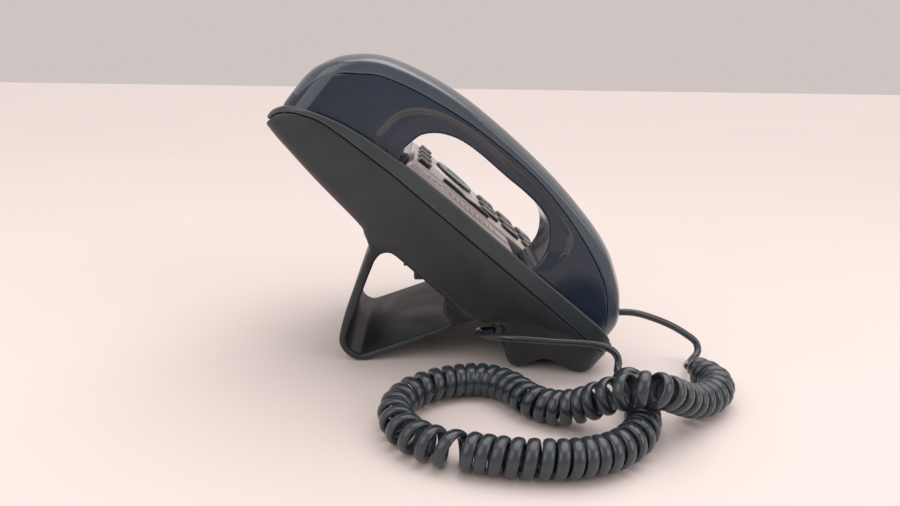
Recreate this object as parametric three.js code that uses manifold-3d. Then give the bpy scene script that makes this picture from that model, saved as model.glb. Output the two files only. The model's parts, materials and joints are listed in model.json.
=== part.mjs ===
// Desk IP telephone with a corded handset, standing on a one-piece rear stand.
// Millimetres. +Z is up, the user sits at -Y, the handset lies along the -X side.
//
// Side outlines are written as [run, height]: run is the distance from the rearmost
// edge of the top lip toward the user, height is measured from the desk.
import * as THREE from 'three';
import { mergeVertices } from 'three/addons/utils/BufferGeometryUtils.js';
import Module from 'manifold-3d';

const wasm = await Module();
wasm.setup();

// ---------------------------------------------------------------- dimensions
const WIDTH = 142;                 // rim width across the set
const MIDDLE_RUN = 89.85;          // half way from the lip to the front end of the handset
const HALF_W = WIDTH / 2;
const GAP = 0.3;                   // air left between neighbouring parts
const WALL = 2.6;                  // shell wall

// Face plane: tilted toward the user, its frame is (x, v uphill, n outward).
const FACE_TILT = THREE.MathUtils.degToRad(39.9);
const FACE_RUN = 88.7;
const FACE_HEIGHT = 93.1;

// Top edge of the rim seen from the side: curved lip, then the straight face line.
const CROWN_CURVE = [
  [1.5, 131.2], [5, 134.3], [10.8, 136.2], [16, 136], [23, 134.5], [31, 131.7],
  [39.1, 128.1], [47, 123.6], [55, 118.4], [64, 112.1], [73, 105.6],
];
const CROWN_NOSE = [[166, 28.4], [171, 22.4], [174.3, 16.4], [175.6, 12.6]];

// Lower edge of the rim band, where it meets the rear housing.
const SEAM_CURVE = [
  [4.6, 131], [8, 133], [15, 133.2], [21, 132], [27.3, 129.8], [35.5, 124.6],
  [43.8, 118.5], [52.2, 112.1], [60.7, 105.6], [69.3, 98.4], [76, 92.6],
];
const SEAM_FRONT = [[165.5, 16.6], [171, 11.4]];

// Rear housing from behind: sloping back, then the leg and foot of the stand.
const BACK_LINE = [
  [0.3, 128], [5, 121.4], [10.2, 115.1], [20.8, 102.5], [30.6, 91.7], [41.7, 79.8], [47.2, 73],
];
const SHELL_UNDERSIDE = [[56, 64.5], [87.4, 38], [98, 28], [118, 24.5]];
const FOOT_LINE = [
  [119, 12], [120.8, 4.4], [123.5, 0.9], [127.8, 0], [133, 2.2], [140.3, 5.6], [148, 3.4],
  [155, 0], [169, 0], [173.5, 3], [175, 8.4],
];

// The stand: one bent strap, back leg outside and inside, then the opening it frames.
const STAND_OUTER = [
  [47.2, 73], [48.4, 65.7], [46.8, 61.3], [41.1, 46.3], [34.3, 27.5], [30.7, 13.6],
  [31.2, 8], [34.5, 3.2], [39, 0.4], [45, 0], [53.4, 3], [66.6, 7.9], [78.1, 13.2],
  [94.6, 19.8], [111, 25.1],
];
const STAND_OPENING = [
  [50.8, 57.6], [53.8, 61.5], [57.8, 63.2], [60.9, 62.4], [65.6, 58.1], [72, 52],
  [79.5, 45.5], [84.3, 41.2], [87.4, 36.6], [86.6, 31], [88, 25.4], [90, 21.8],
  [83, 17.9], [63.4, 10.6], [44.8, 4], [40, 4], [36.2, 6.6], [34.6, 11],
  [35.6, 17], [41.6, 33.4], [46.4, 46.4],
];
const STAND_WIDTH = 96;
const STAND_FLARE_WIDTH = 122;

// Handset: outer back line, cover seam, finger arch and the two pods.
const HANDSET_X = -46.8;
const HANDSET_WIDTH = 40.6;
const HANDSET_WALL = 2.2;
const HANDSET_BACK = [
  [7.4, 136.6], [8.4, 139.2], [10.4, 142.6], [14, 147], [20.5, 151.8], [28.4, 156.1],
  [36.2, 159], [43.9, 160.1], [51.2, 160.2], [58.8, 158.9], [66.6, 156.2], [74.4, 152.8],
  [82.2, 148.9], [90.1, 144.3], [98.1, 139], [105, 133.8], [113, 127.4], [122.2, 119.7],
  [132.3, 110.7], [142.5, 100.9], [153, 89.6], [163.8, 76.6], [171, 65.6], [175.5, 54.9],
  [178.6, 44.2], [179.4, 33.2], [178.5, 24.5], [176.2, 18.6],
];
const COVER_DEPTH = 9.2;           // seam below the outer back line
const COVER_CROWN = 4.2;           // how far the cover edges fall below its middle
const ARCH = [
  [67, 117.1], [70.3, 119.9], [74.5, 122.9], [79.9, 124], [86.1, 123.5], [93.9, 120.6],
  [103.1, 114.4], [116.2, 103.4], [123.9, 95.7], [130.2, 88], [133.8, 81.4], [134.4, 75.2],
  [133.4, 68.4], [130.6, 62.6], [128.4, 59.9],
];
const EAR_POD = [[12.5, 131.9], [22, 127], [62, 104.4]];
const MOUTH_POD = [[124.6, 53], [150, 27.5], [160, 21], [169, 18.6]];

// Keys.
const PANEL_EDGE_X = -25.6;        // step between cradle side and raised key panel
const CRADLE_DROP = 1.4;
const DIAL_X = [0, 17.4, 34.8];
const DIAL_V = [-33.4, -49.6, -65.8, -82];
const DIAL_SIZE = [13.4, 12.2];
const SOFT_X = [-17, 2.4, 21.8, 41.2];
const SOFT_V = 17;
const FUNCTION_V = -97;
const NAV_CENTRE = [17.4, -5.5];
const NAV_RADIUS = 13.4;
const VOLUME_CENTRE = [-20.4, -13.6];
const VOLUME_SIZE = [5, 33];
const KEY_FIT = 0.35;              // clearance round every key

// Display.
const DISPLAY_TILT = THREE.MathUtils.degToRad(33.4);
const DISPLAY_RUN = 54.5;
const DISPLAY_HEIGHT = 118.7;
const DISPLAY_X = 14;
const DISPLAY_SIZE = [74, 34];

// Curly cord: the coil is one fat tube of its outer diameter.
const CORD_RADIUS = 1.9;
const COIL_RADIUS = 8;
const COIL_SIDES = 10;
const BASE_TAIL = [
  [-45, -25.2, 16.8], [-45.4, -20.6, 17], [-48, -16.8, 17.6], [-53, -15.6, 18.6],
  [-59, -17.4, 19.8], [-65, -21.4, 21.2], [-70.4, -26.6, 22.8], [-73.6, -33, 23.6],
  [-74.6, -41, 23.4], [-74.8, -54, 22.4], [-75, -66, 21.8], [-75.6, -76, 20.6],
  [-76.4, -82.6, 17.4], [-77.4, -84.8, 13], [-79.6, -83.8, 9.6], [-82.4, -82.6, 8.5],
];
const COIL_ROUTE = [
  [-84.2, -82.9, 8.2], [-92, -86, 8.1], [-104.3, -88, 8.1], [-118.7, -84.2, 8.1],
  [-133.5, -79.6, 8.1], [-144.6, -72, 8.1], [-152.7, -61.4, 8.1], [-157.3, -47, 8.1],
  [-157.6, -33, 8.1], [-156, -20, 8.1], [-152.8, -8, 8.1], [-149.2, 3.9, 8.1],
  [-143, 14.6, 8.1], [-132, 22.8, 8.1], [-117.2, 25.4, 8.1], [-102.6, 19, 8.1],
  [-92.4, 6, 8.1], [-87.6, -8.8, 8.1], [-89.4, -19.6, 8.1], [-97, -28.4, 8.1],
  [-109.6, -36, 8.1], [-117, -47, 8.4], [-121, -57, 12], [-126.4, -65, 18.4],
  [-131.4, -72.4, 23.8], [-133.6, -80, 25.6], [-131.6, -88, 23.6], [-125.6, -97, 18],
  [-117, -107, 11.6], [-109, -117, 8.4], [-101.4, -125, 8.1], [-92, -129, 8.1],
  [-82.6, -127.2, 8.1], [-74.2, -123.4, 8.1],
];
const HANDSET_TAIL = [
  [-72.4, -122.4, 7.6], [-66, -124.6, 5.6], [-58, -130, 4.6], [-51.4, -136, 6.2],
  [-47.8, -136.4, 10.4], [-47, -130.6, 15], [-46.9, -121.7, 20.2], [-46.8, -111.6, 24.4],
  [-46.8, -100.4, 27.6], [-46.8, -89, 28],
];

// Shell sections: plan of the set square to the face, and bowl half width by depth.
const PLAN_TOP = 92;
const PLAN_BOTTOM = -119.5;
const PLAN_RADIUS = 18;
const RIM_WALL = 3;
const BOWL_SIDE = [
  [70.6, 70], [70.6, -10], [69.9, -15], [68.2, -20], [65.8, -26], [63.2, -32], [61, -38],
  [59.4, -46], [59, -120],
];
const CROWN_FLAT_X = 45;           // the face is flat this far, then falls away
const CROWN_FALL = 6;

// Face plate: thickness, the room it has inside the rim, and the two handset pockets.
const PLATE = 2.2;
const PLATE_ROOM = [
  [-2, 133.5], [12.2, 133.5], [10.5, 131.2], [12.8, 123.4], [24.8, 108.6], [45.2, 85.6],
  [60, 68.4], [91, 42.4], [121, 29], [150, 10.6], [164, 7], [167, 20.5], [171.6, 16.5],
  [178, 16], [178, 150], [-2, 150],
];
const EAR_POCKET = [[7, 134], [11.9, 130.9], [21.7, 126.1], [62.5, 103.1], [70.4, 112.6]];
const EAR_CUP_TOP = [[64, 109.6], [54, 116.6], [44, 123], [30, 130.6], [16, 133.6]];
const EAR_LID = [[76, 140], [8, 150]];
const MOUTH_POCKET = [
  [121.6, 66], [123.4, 51.6], [149.5, 26.2], [159.6, 19.8], [168.7, 17.4], [180, 17.4],
];
const MOUTH_CUP_TOP = [[170, 22], [160, 32]];
const MOUTH_LID = [[190, 60], [150, 100]];
const HANDSET_FRONT = [
  [112, 72], [123, 50.8], [149.2, 25.8], [159.4, 19.4], [168.8, 17.2], [190, 17.2],
  [190, 60], [150, 90],
];
const CUP_WALL = 2;

// Depths below the face of the parts inside the set, each [low, high].
const MEMBRANE = [-7.3, -5.9];
const KEY_BOARD = [-9.3, -7.7];
const MAIN_BOARD = [-24, -22.4];
const KEY_FLANGE = [-3.8, -2.8];
const LENS = [-2.3, -0.9];
const LCD = [-8.5, -4.2];
const SOFT_KEY_SINK = 0.7;         // soft key flanges sit lower, under the display frame

// Hook switch under the ear end of the cradle.
const HOOK = { x: -46.8, v: 52, width: 6.4, length: 6, top: -13.9, bottom: -24 };

// Cord sockets: outer block, cavity and the plug in it.
const BASE_JACK = { x: -45, z: 16.8, y0: -44, y1: -29.6, width: 13, height: 11.6 };
const HANDSET_JACK = { z: 28, y0: -78.2, y1: -70.6, width: 13, height: 9.4 };
const PLUG = [9.2, 6.4];
const CAVITY = [9.8, 7];
const BASE_PLUG_Y = -25.6;         // rear end of the plug in the base
const HANDSET_PLUG_Y = -88.6;      // front end of the plug in the handset

// ------------------------------------------------------------ small geometry
const yOf = (run) => MIDDLE_RUN - run;

function toSolid(geometry) {
  const plain = geometry.clone();
  plain.deleteAttribute('normal');
  plain.deleteAttribute('uv');
  const merged = mergeVertices(plain, 1e-4);
  return new wasm.Manifold(new wasm.Mesh({
    numProp: 3,
    vertProperties: new Float32Array(merged.attributes.position.array),
    triVerts: new Uint32Array(merged.index.array),
  }));
}

function toGeometry(solid) {
  const mesh = solid.getMesh();
  const geometry = new THREE.BufferGeometry();
  geometry.setAttribute('position', new THREE.BufferAttribute(mesh.vertProperties, 3));
  geometry.setIndex(new THREE.BufferAttribute(mesh.triVerts, 1));
  geometry.computeVertexNormals();
  return geometry;
}

// Frames: two in-plane axes and the extrusion axis between them.
function frame(xAxis, yAxis, origin) {
  const x = new THREE.Vector3(...xAxis);
  const y = new THREE.Vector3(...yAxis);
  const z = new THREE.Vector3().crossVectors(x, y);
  return new THREE.Matrix4().makeBasis(x, y, z).setPosition(new THREE.Vector3(...origin));
}

const SIDE = frame([0, 1, 0], [0, 0, 1], [0, 0, 0]);
const FRONT = frame([1, 0, 0], [0, 0, 1], [0, 0, 0]);
const PLAN = frame([1, 0, 0], [0, 1, 0], [0, 0, 0]);

function tiltedFrame(tilt, run, height) {
  return frame([1, 0, 0], [0, Math.cos(tilt), Math.sin(tilt)], [0, yOf(run), height]);
}

const FACE = tiltedFrame(FACE_TILT, FACE_RUN, FACE_HEIGHT);
const DISPLAY = tiltedFrame(DISPLAY_TILT, DISPLAY_RUN, DISPLAY_HEIGHT);

// Prism of an outline, from low to high along the frame's third axis.
function prism(outline, low, high, matrix) {
  const shape = new THREE.Shape(outline.map(([a, b]) => new THREE.Vector2(a, b)));
  const geometry = new THREE.ExtrudeGeometry(shape, { depth: high - low, bevelEnabled: false });
  geometry.translate(0, 0, low);
  geometry.applyMatrix4(matrix);
  return toSolid(geometry);
}

// Prism of a [run, height] outline across the width.
function acrossWidth(outline, x0, x1) {
  return prism(outline.map(([run, height]) => [yOf(run), height]), x0, x1, SIDE);
}

function roundedRect(cx, cy, width, height, radius, steps = 4) {
  const points = [];
  const corners = [[1, 1, 0], [-1, 1, 90], [-1, -1, 180], [1, -1, 270]];
  for (const [sx, sy, start] of corners) {
    for (let i = 0; i <= steps; i += 1) {
      const angle = THREE.MathUtils.degToRad(start + (90 * i) / steps);
      points.push([
        cx + sx * (width / 2 - radius) + radius * Math.cos(angle),
        cy + sy * (height / 2 - radius) + radius * Math.sin(angle),
      ]);
    }
  }
  return points;
}

function circle(cx, cy, radius, steps = 24) {
  const points = [];
  for (let i = 0; i < steps; i += 1) {
    const angle = (2 * Math.PI * i) / steps;
    points.push([cx + radius * Math.cos(angle), cy + radius * Math.sin(angle)]);
  }
  return points;
}

// The largest body of a cut solid, without slivers.
function mainBody(solid) {
  return solid.decompose().sort((a, b) => b.volume() - a.volume())[0];
}

// Smooth line through side points, resampled evenly.
function smooth(points, count) {
  const curve = new THREE.SplineCurve(points.map(([a, b]) => new THREE.Vector2(a, b)));
  return curve.getSpacedPoints(count).map((p) => [p.x, p.y]);
}

// Line parallel to a side line; positive distance lies on its left.
function offsetLine(points, distance) {
  return points.map((point, i) => {
    const before = points[Math.max(i - 1, 0)];
    const after = points[Math.min(i + 1, points.length - 1)];
    const dx = after[0] - before[0];
    const dy = after[1] - before[1];
    const length = Math.hypot(dx, dy);
    return [point[0] - (dy / length) * distance, point[1] + (dx / length) * distance];
  });
}

// Triangles of a closed outline, wound the way the outline runs.
function capTriangles(outline) {
  const points = outline.map(([a, b]) => new THREE.Vector2(a, b));
  const forward = THREE.ShapeUtils.area(points) > 0;
  return THREE.ShapeUtils.triangulateShape(points, []).map(([a, b, c]) => {
    const agrees = THREE.ShapeUtils.area([points[a], points[b], points[c]]) > 0 === forward;
    return agrees ? [a, b, c] : [a, c, b];
  });
}

// Solid through a row of rings with the same number of points.
function ringSolid(rings, outline) {
  const count = outline.length;
  const index = [];
  for (let i = 0; i + 1 < rings.length; i += 1) {
    for (let j = 0; j < count; j += 1) {
      const a = i * count + j;
      const b = i * count + ((j + 1) % count);
      index.push(a, b, a + count, b, b + count, a + count);
    }
  }
  const last = (rings.length - 1) * count;
  for (const [a, b, c] of capTriangles(outline)) {
    index.push(a, c, b, last + a, last + b, last + c);
  }
  const geometry = new THREE.BufferGeometry();
  geometry.setAttribute('position', new THREE.Float32BufferAttribute(rings.flat(2), 3));
  geometry.setIndex(index);
  const solid = toSolid(geometry);
  if (solid.volume() > 0) {
    return solid;
  }
  for (let i = 0; i < index.length; i += 3) {
    [index[i + 1], index[i + 2]] = [index[i + 2], index[i + 1]];
  }
  geometry.setIndex(index);
  return toSolid(geometry);
}

// Solid swept along a side line: section points are [x, n], n above the line.
function sweepAlong(path, section) {
  const lines = section.map(([x, n]) => (
    offsetLine(path, n).map(([run, height]) => [x, yOf(run), height])
  ));
  return ringSolid(path.map((_, i) => lines.map((line) => line[i])), section);
}

// Solid between two side outlines of equal length at two widths.
function bridge(outlineA, xa, outlineB, xb) {
  const ring = (outline, x) => outline.map(([run, height]) => [x, yOf(run), height]);
  return ringSolid([ring(outlineA, xa), ring(outlineB, xb)], outlineA);
}

// Tube along a smooth route.
function tube(route, radius, sides, spacing) {
  const curve = new THREE.CatmullRomCurve3(route.map((p) => new THREE.Vector3(...p)));
  const steps = Math.max(4, Math.round(curve.getLength() / spacing));
  const section = circle(0, 0, radius, sides).map(([a, b]) => new THREE.Vector2(a, b));
  const shape = new THREE.Shape(section);
  return new THREE.ExtrudeGeometry(shape, { steps, bevelEnabled: false, extrudePath: curve });
}

// -------------------------------------------------------------------- set up
const root = new THREE.Group();
root.name = 'desk_ip_phone';

const finishes = {
  housing: { color: 0x343b42, roughness: 0.62, metalness: 0 },
  rim: { color: 0x3f484f, roughness: 0.5, metalness: 0 },
  panel: { color: 0xb9b3b1, roughness: 0.4, metalness: 0.3 },
  gloss: { color: 0x161b22, roughness: 0.22, metalness: 0 },
  cover: { color: 0x4b5a68, roughness: 0.38, metalness: 0.1 },
  key: { color: 0x1b2226, roughness: 0.5, metalness: 0 },
  teal: { color: 0x24393d, roughness: 0.35, metalness: 0 },
  rubber: { color: 0x22262a, roughness: 0.8, metalness: 0 },
  cord: { color: 0x20252b, roughness: 0.35, metalness: 0 },
  lens: { color: 0xa9c6c4, roughness: 0.08, metalness: 0 },
  board: { color: 0x1f5a3a, roughness: 0.6, metalness: 0 },
  steel: { color: 0x9a9ea2, roughness: 0.35, metalness: 1 },
  lamp: { color: 0xb04030, roughness: 0.25, metalness: 0 },
};

function addPart(name, shape, finish) {
  const geometry = shape.isBufferGeometry ? shape : toGeometry(shape);
  const mesh = new THREE.Mesh(geometry, new THREE.MeshStandardMaterial(finishes[finish]));
  mesh.name = name;
  root.add(mesh);
  return mesh;
}

// ------------------------------------------------------------- shared outlines
const crownUpper = smooth(CROWN_CURVE, 14);
const faceRuns = [76, 100, 130, 160];
const faceHeight = (run) => FACE_HEIGHT - (run - FACE_RUN) * Math.tan(FACE_TILT);
const faceLine = faceRuns.map((run) => [run, faceHeight(run)]);
const crownLine = [...crownUpper, ...faceLine, ...CROWN_NOSE];
const seamLine = [...smooth(SEAM_CURVE, 12), ...SEAM_FRONT];

// How far the face falls away toward the far side: flat over the keys, then rounded.
function faceFall(x) {
  const past = Math.max(0, x - CROWN_FLAT_X) / (HALF_W - CROWN_FLAT_X);
  return CROWN_FALL * past * past;
}

// Plan of the set, square to the face.
function planColumn(inset, radius) {
  const middle = (PLAN_TOP + PLAN_BOTTOM) / 2;
  const height = PLAN_TOP - PLAN_BOTTOM - 2 * inset;
  return prism(roundedRect(0, middle, WIDTH - 2 * inset, height, radius, 7), -190, 60, FACE);
}

// Bowl section across the set, [x, n], extruded along the face.
function bowlColumn(inset) {
  const right = BOWL_SIDE.map(([x, n]) => [x - inset, n]).reverse();
  const left = BOWL_SIDE.map(([x, n]) => [inset - x, n]);
  const outward = [0, -Math.sin(FACE_TILT), Math.cos(FACE_TILT)];
  const along = frame([1, 0, 0], outward, [0, yOf(FACE_RUN), FACE_HEIGHT]);
  return prism([...right, ...left], -160, 160, along);
}

// ------------------------------------------------------------- rear housing
const seamUnder = offsetLine(seamLine, -GAP);
const shellOutline = [
  ...[...BACK_LINE].reverse(),
  ...seamUnder,
  ...[...FOOT_LINE].reverse(),
  ...[...SHELL_UNDERSIDE].reverse(),
];
const shellSolid = acrossWidth(shellOutline, -HALF_W, HALF_W)
  .intersect(bowlColumn(0))
  .intersect(planColumn(0.4, 17));

const cavityOutline = [
  [9, 130.6], [12, 121.5], [24, 107], [44, 84.6], [51, 75.2], [59, 66.9], [90, 40.8],
  [100.5, 31.2], [120, 27.4], [122.4, 14], [126, 6], [150, 8.6], [165, 4.6], [168, 22],
  [130, 80], [60, 140], [20, 142],
];
const cavity = acrossWidth(cavityOutline, -HALF_W, HALF_W)
  .intersect(bowlColumn(WALL))
  .intersect(planColumn(3.2, 14));

const standProfile = acrossWidth([...STAND_OUTER, [98, 40], [70, 66]], -HALF_W, HALF_W);
const standFlare = [
  [STAND_FLARE_WIDTH / 2, 80], [STAND_FLARE_WIDTH / 2, 70], [56, 62], [51.6, 54], [49, 45],
  [STAND_WIDTH / 2, 36], [STAND_WIDTH / 2, -5],
];
const standFront = prism(
  [...standFlare, ...standFlare.map(([x, z]) => [-x, z]).reverse()], -120, 120, FRONT,
);
const standOpening = acrossWidth(STAND_OPENING, -HALF_W - 5, HALF_W + 5);
const stand = standProfile.intersect(standFront).subtract(standOpening);

let housing = shellSolid.subtract(standOpening).subtract(cavity).add(stand.subtract(cavity));

// Cord socket in the back wall of the front foot; the cord comes out under the shell.
housing = housing.subtract(prism(
  roundedRect(BASE_JACK.x, BASE_JACK.z, BASE_JACK.width + 2 * GAP, BASE_JACK.height + 2 * GAP, 0.8),
  24, 46, FRONT,
));

// Sockets under the shell, inside the stand opening: blocks that hang from the underside.
const SOCKETS = [
  { name: 'lan_jack', x: -24, cavity: [11.7, 6.8] },
  { name: 'pc_jack', x: -5, cavity: [11.7, 6.8] },
  { name: 'headset_jack', x: 12, cavity: [7.8, 6.8] },
  { name: 'power_jack', x: 27, cavity: [6.2, 6.2] },
];
const SOCKET_BLOCK = { run: 71, width: 14.6, depth: 12, z0: 49, z1: 66 };
for (const socket of SOCKETS) {
  const y = yOf(SOCKET_BLOCK.run);
  const { width, depth, z0, z1 } = SOCKET_BLOCK;
  const seatOutline = roundedRect(socket.x, y, width + 2 * GAP, depth + 2 * GAP, 0.8);
  const seat = prism(seatOutline, z0 - 9, z1, PLAN);
  const block = prism(roundedRect(socket.x, y, width, depth, 0.5), z0, z1, PLAN);
  const radius = socket.name === 'power_jack' ? 3.05 : 0.4;
  const bore = prism(roundedRect(socket.x, y, ...socket.cavity, radius), z0 - 1, z1 - 3, PLAN);
  housing = housing.subtract(seat);
  addPart(socket.name, block.subtract(bore), 'rubber');
}

// Wall slots and screws in the sloping back.
const BACK = tiltedFrame(THREE.MathUtils.degToRad(48.9), 20.8, 102.5);
for (const x of [-52.5, 52.5]) {
  housing = housing.subtract(prism(roundedRect(x, -1.5, 4.2, 9.5, 1.9), -6, 9, BACK));
}
const UNDER = tiltedFrame(THREE.MathUtils.degToRad(40.2), 63, 58.6);
const SCREWS = [['upper', BACK, 34, 12], ['lower', UNDER, 50, 4]];
for (const [row, matrix, x, v] of SCREWS) {
  for (const [side, sign] of [['left', -1], ['right', 1]]) {
    const centre = [sign * x, v];
    housing = housing.subtract(prism(circle(...centre, 3.6, 16), -4, 1.7, matrix));
    const head = prism(circle(...centre, 3.2, 16), 0.4, 1.4, matrix);
    const driver = prism(roundedRect(...centre, 3.6, 0.9, 0.3, 1), 0, 0.9, matrix)
      .add(prism(roundedRect(...centre, 0.9, 3.6, 0.3, 1), 0, 0.9, matrix));
    addPart(`screw_${row}_${side}`, head.subtract(driver), 'steel');
  }
}

// Rubber pads under the stand bend and under the front foot.
const PADS = [['rear', 45.5, 34], ['front', 162, 42]];
for (const [row, run, x] of PADS) {
  for (const [side, sign] of [['left', -1], ['right', 1]]) {
    const outline = roundedRect(sign * x, yOf(run), 16, 8, 3.2);
    const recess = roundedRect(sign * x, yOf(run), 16 + 2 * GAP, 8 + 2 * GAP, 3.4);
    housing = housing.subtract(prism(recess, -2, 2.2, PLAN));
    addPart(`foot_${row}_${side}`, prism(outline, 0, 1.9, PLAN), 'rubber');
  }
}
addPart('rear_housing', housing, 'housing');

// ------------------------------------------------------------------ rim band
const aboveFace = sweepAlong(crownLine, [
  ...[-90, CROWN_FLAT_X, 50, 55, 60, 65, HALF_W + 2].map((x) => [x, -faceFall(Math.min(x, HALF_W))]),
  [HALF_W + 2, 9], [-90, 9],
]);
const handsetFront = acrossWidth(
  HANDSET_FRONT,
  HANDSET_X - HANDSET_WIDTH / 2 - 0.7, HANDSET_X + HANDSET_WIDTH / 2 + 0.5,
);
const rim = acrossWidth([...crownLine, ...[...seamLine].reverse()], -HALF_W, HALF_W)
  .intersect(planColumn(0, PLAN_RADIUS))
  .subtract(planColumn(RIM_WALL, PLAN_RADIUS - RIM_WALL))
  .subtract(aboveFace)
  .subtract(handsetFront);
addPart('rim_band', mainBody(rim), 'rim');

// ---------------------------------------------------------------- face plate
const plateTop = [
  [-HALF_W, -CRADLE_DROP], [PANEL_EDGE_X - 0.8, -CRADLE_DROP], [PANEL_EDGE_X, -0.2],
  ...[CROWN_FLAT_X, 50, 55, 60, 65, HALF_W].map((x) => [x, -0.2 - faceFall(x)]),
];
const plateSection = [...plateTop, ...plateTop.map(([x, n]) => [x, n - PLATE]).reverse()];
let plate = sweepAlong(crownLine, plateSection);

const POCKET_X = [HANDSET_X - HANDSET_WIDTH / 2 - 0.6, HANDSET_X + HANDSET_WIDTH / 2 + 0.5];
const earCup = acrossWidth(
  [...offsetLine(EAR_POCKET, -CUP_WALL), ...EAR_CUP_TOP],
  POCKET_X[0], POCKET_X[1] + 2,
);
const mouthCup = acrossWidth(
  [[119.6, 64], ...offsetLine(MOUTH_POCKET, -CUP_WALL).slice(1, 5), ...MOUTH_CUP_TOP],
  POCKET_X[0], POCKET_X[1] + 2,
);
const navRing = prism(circle(...NAV_CENTRE, NAV_RADIUS + 2.2, 28), -1, 0.6, FACE);
plate = plate.add(navRing).add(earCup).add(mouthCup)
  .subtract(acrossWidth([...EAR_POCKET, ...EAR_LID], POCKET_X[0] - 1, POCKET_X[1]))
  .subtract(acrossWidth([...MOUTH_POCKET, ...MOUTH_LID], POCKET_X[0] - 1, POCKET_X[1]))
  .intersect(planColumn(RIM_WALL + GAP, PLAN_RADIUS - RIM_WALL - 0.4))
  .intersect(bowlColumn(WALL + GAP))
  .intersect(acrossWidth(PLATE_ROOM, -HALF_W, HALF_W));

// Loudspeaker grille: slots whose lengths follow an oval, with one oval groove round them.
const GRILLE = { x: HANDSET_X + 1, v: -17, halfWidth: 12, halfLength: 24, pitch: 5 };
for (let i = -4; i <= 4; i += 1) {
  const along = (i * GRILLE.pitch) / GRILLE.halfLength;
  const length = 2 * GRILLE.halfWidth * Math.sqrt(1 - along * along);
  const slot = roundedRect(GRILLE.x, GRILLE.v + i * GRILLE.pitch, length, 1.8, 0.8, 2);
  plate = plate.subtract(prism(slot, -5, 3, FACE));
}

// --------------------------------------------------------------- keys
const [FLANGE_BOTTOM, FLANGE_TOP] = KEY_FLANGE;
function keyHole(outlineFor) {
  plate = plate.subtract(prism(outlineFor(KEY_FIT), -5, 4, FACE));
}

function addKey(name, outlineFor, top, finish, sink = 0) {
  keyHole(outlineFor);
  const low = FLANGE_BOTTOM - sink;
  const cap = prism(outlineFor(0), low, top - 0.5, FACE);
  const crown = prism(outlineFor(-0.6), top - 0.6, top, FACE);
  const flange = prism(outlineFor(KEY_FIT + 0.8), low, FLANGE_TOP - sink, FACE);
  addPart(name, cap.add(crown).add(flange), finish);
}

const DIAL_NAMES = ['1', '2', '3', '4', '5', '6', '7', '8', '9', 'star', '0', 'hash'];
DIAL_V.forEach((v, row) => {
  DIAL_X.forEach((x, column) => {
    const name = `key_${DIAL_NAMES[row * 3 + column]}`;
    const [width, height] = DIAL_SIZE;
    const outlineFor = (grow) => roundedRect(x, v, width + 2 * grow, height + 2 * grow, 3.6, 2);
    addKey(name, outlineFor, 1.4, 'key');
  });
});

// Soft keys: flat toward the display, round toward the user.
function softOutline(x, grow) {
  const points = [[x + 6.6 + grow, SOFT_V + 3 + grow], [x - 6.6 - grow, SOFT_V + 3 + grow]];
  for (let i = 0; i <= 8; i += 1) {
    const angle = Math.PI + (Math.PI * i) / 8;
    points.push([x + (6.6 + grow) * Math.cos(angle), SOFT_V - 1 + (4 + grow) * Math.sin(angle)]);
  }
  return points;
}
SOFT_X.forEach((x, i) => {
  addKey(`soft_key_${i + 1}`, (grow) => softOutline(x, grow), 2, 'key', SOFT_KEY_SINK);
});

['mute_key', 'speaker_key', 'hold_key'].forEach((name, i) => {
  const outlineFor = (grow) => (
    roundedRect(DIAL_X[i], FUNCTION_V, 13.4 + 2 * grow, 6.6 + 2 * grow, 2.6, 3)
  );
  addKey(name, outlineFor, 1.2, 'key');
});

addKey('nav_key', (grow) => circle(...NAV_CENTRE, NAV_RADIUS + grow, 28), 2.6, 'teal');

const [volumeX, volumeV] = VOLUME_CENTRE;
const [volumeWidth, volumeLength] = VOLUME_SIZE;
const volumeOutline = (grow) => (
  roundedRect(volumeX, volumeV, volumeWidth + 2 * grow, volumeLength + 2 * grow, 2.2, 3)
);
keyHole(volumeOutline);
addPart('volume_bar', prism(volumeOutline(0), -2.6, 1.6, FACE), 'key');

// ------------------------------------------------------------------- display
const [displayWidth, displayHeight] = DISPLAY_SIZE;
plate = plate.subtract(
  prism(roundedRect(DISPLAY_X, 0, displayWidth, displayHeight, 2.5), -6, 6, DISPLAY),
);
const lens = roundedRect(DISPLAY_X, 0, displayWidth - 2 * GAP, displayHeight - 2 * GAP, 2.3);
addPart('display_lens', prism(lens, ...LENS, DISPLAY), 'lens');
addPart('lcd_module', prism(
  roundedRect(DISPLAY_X, 0, displayWidth + 1, displayHeight + 4, 1.5), ...LCD, DISPLAY,
), 'steel');

const LAMP = tiltedFrame(THREE.MathUtils.degToRad(18), 27, 133.4);
plate = plate.subtract(prism(roundedRect(DISPLAY_X, 0, 30.6, 4.6, 2.2), -5, 4, LAMP));
addPart('message_lamp', prism(roundedRect(DISPLAY_X, 0, 30, 4, 1.9), -2.4, 0.7, LAMP), 'lamp');

// --------------------------------------------------------------- hook switch
const hookOutline = roundedRect(HOOK.x, HOOK.v, HOOK.width, HOOK.length, 1.4, 3);
const hookHole = roundedRect(HOOK.x, HOOK.v, HOOK.width + 0.8, HOOK.length + 0.8, 1.7, 3);
plate = plate.subtract(prism(hookHole, -24, 0, FACE));
addPart('hook_plunger', prism(hookOutline, HOOK.bottom, HOOK.top, FACE), 'rubber');
addPart('face_plate', mainBody(plate), 'panel');
addPart('hook_switch', prism(
  roundedRect(HOOK.x, HOOK.v, 12, 10, 1), HOOK.bottom - 5, HOOK.bottom - GAP, FACE,
), 'board');

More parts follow.
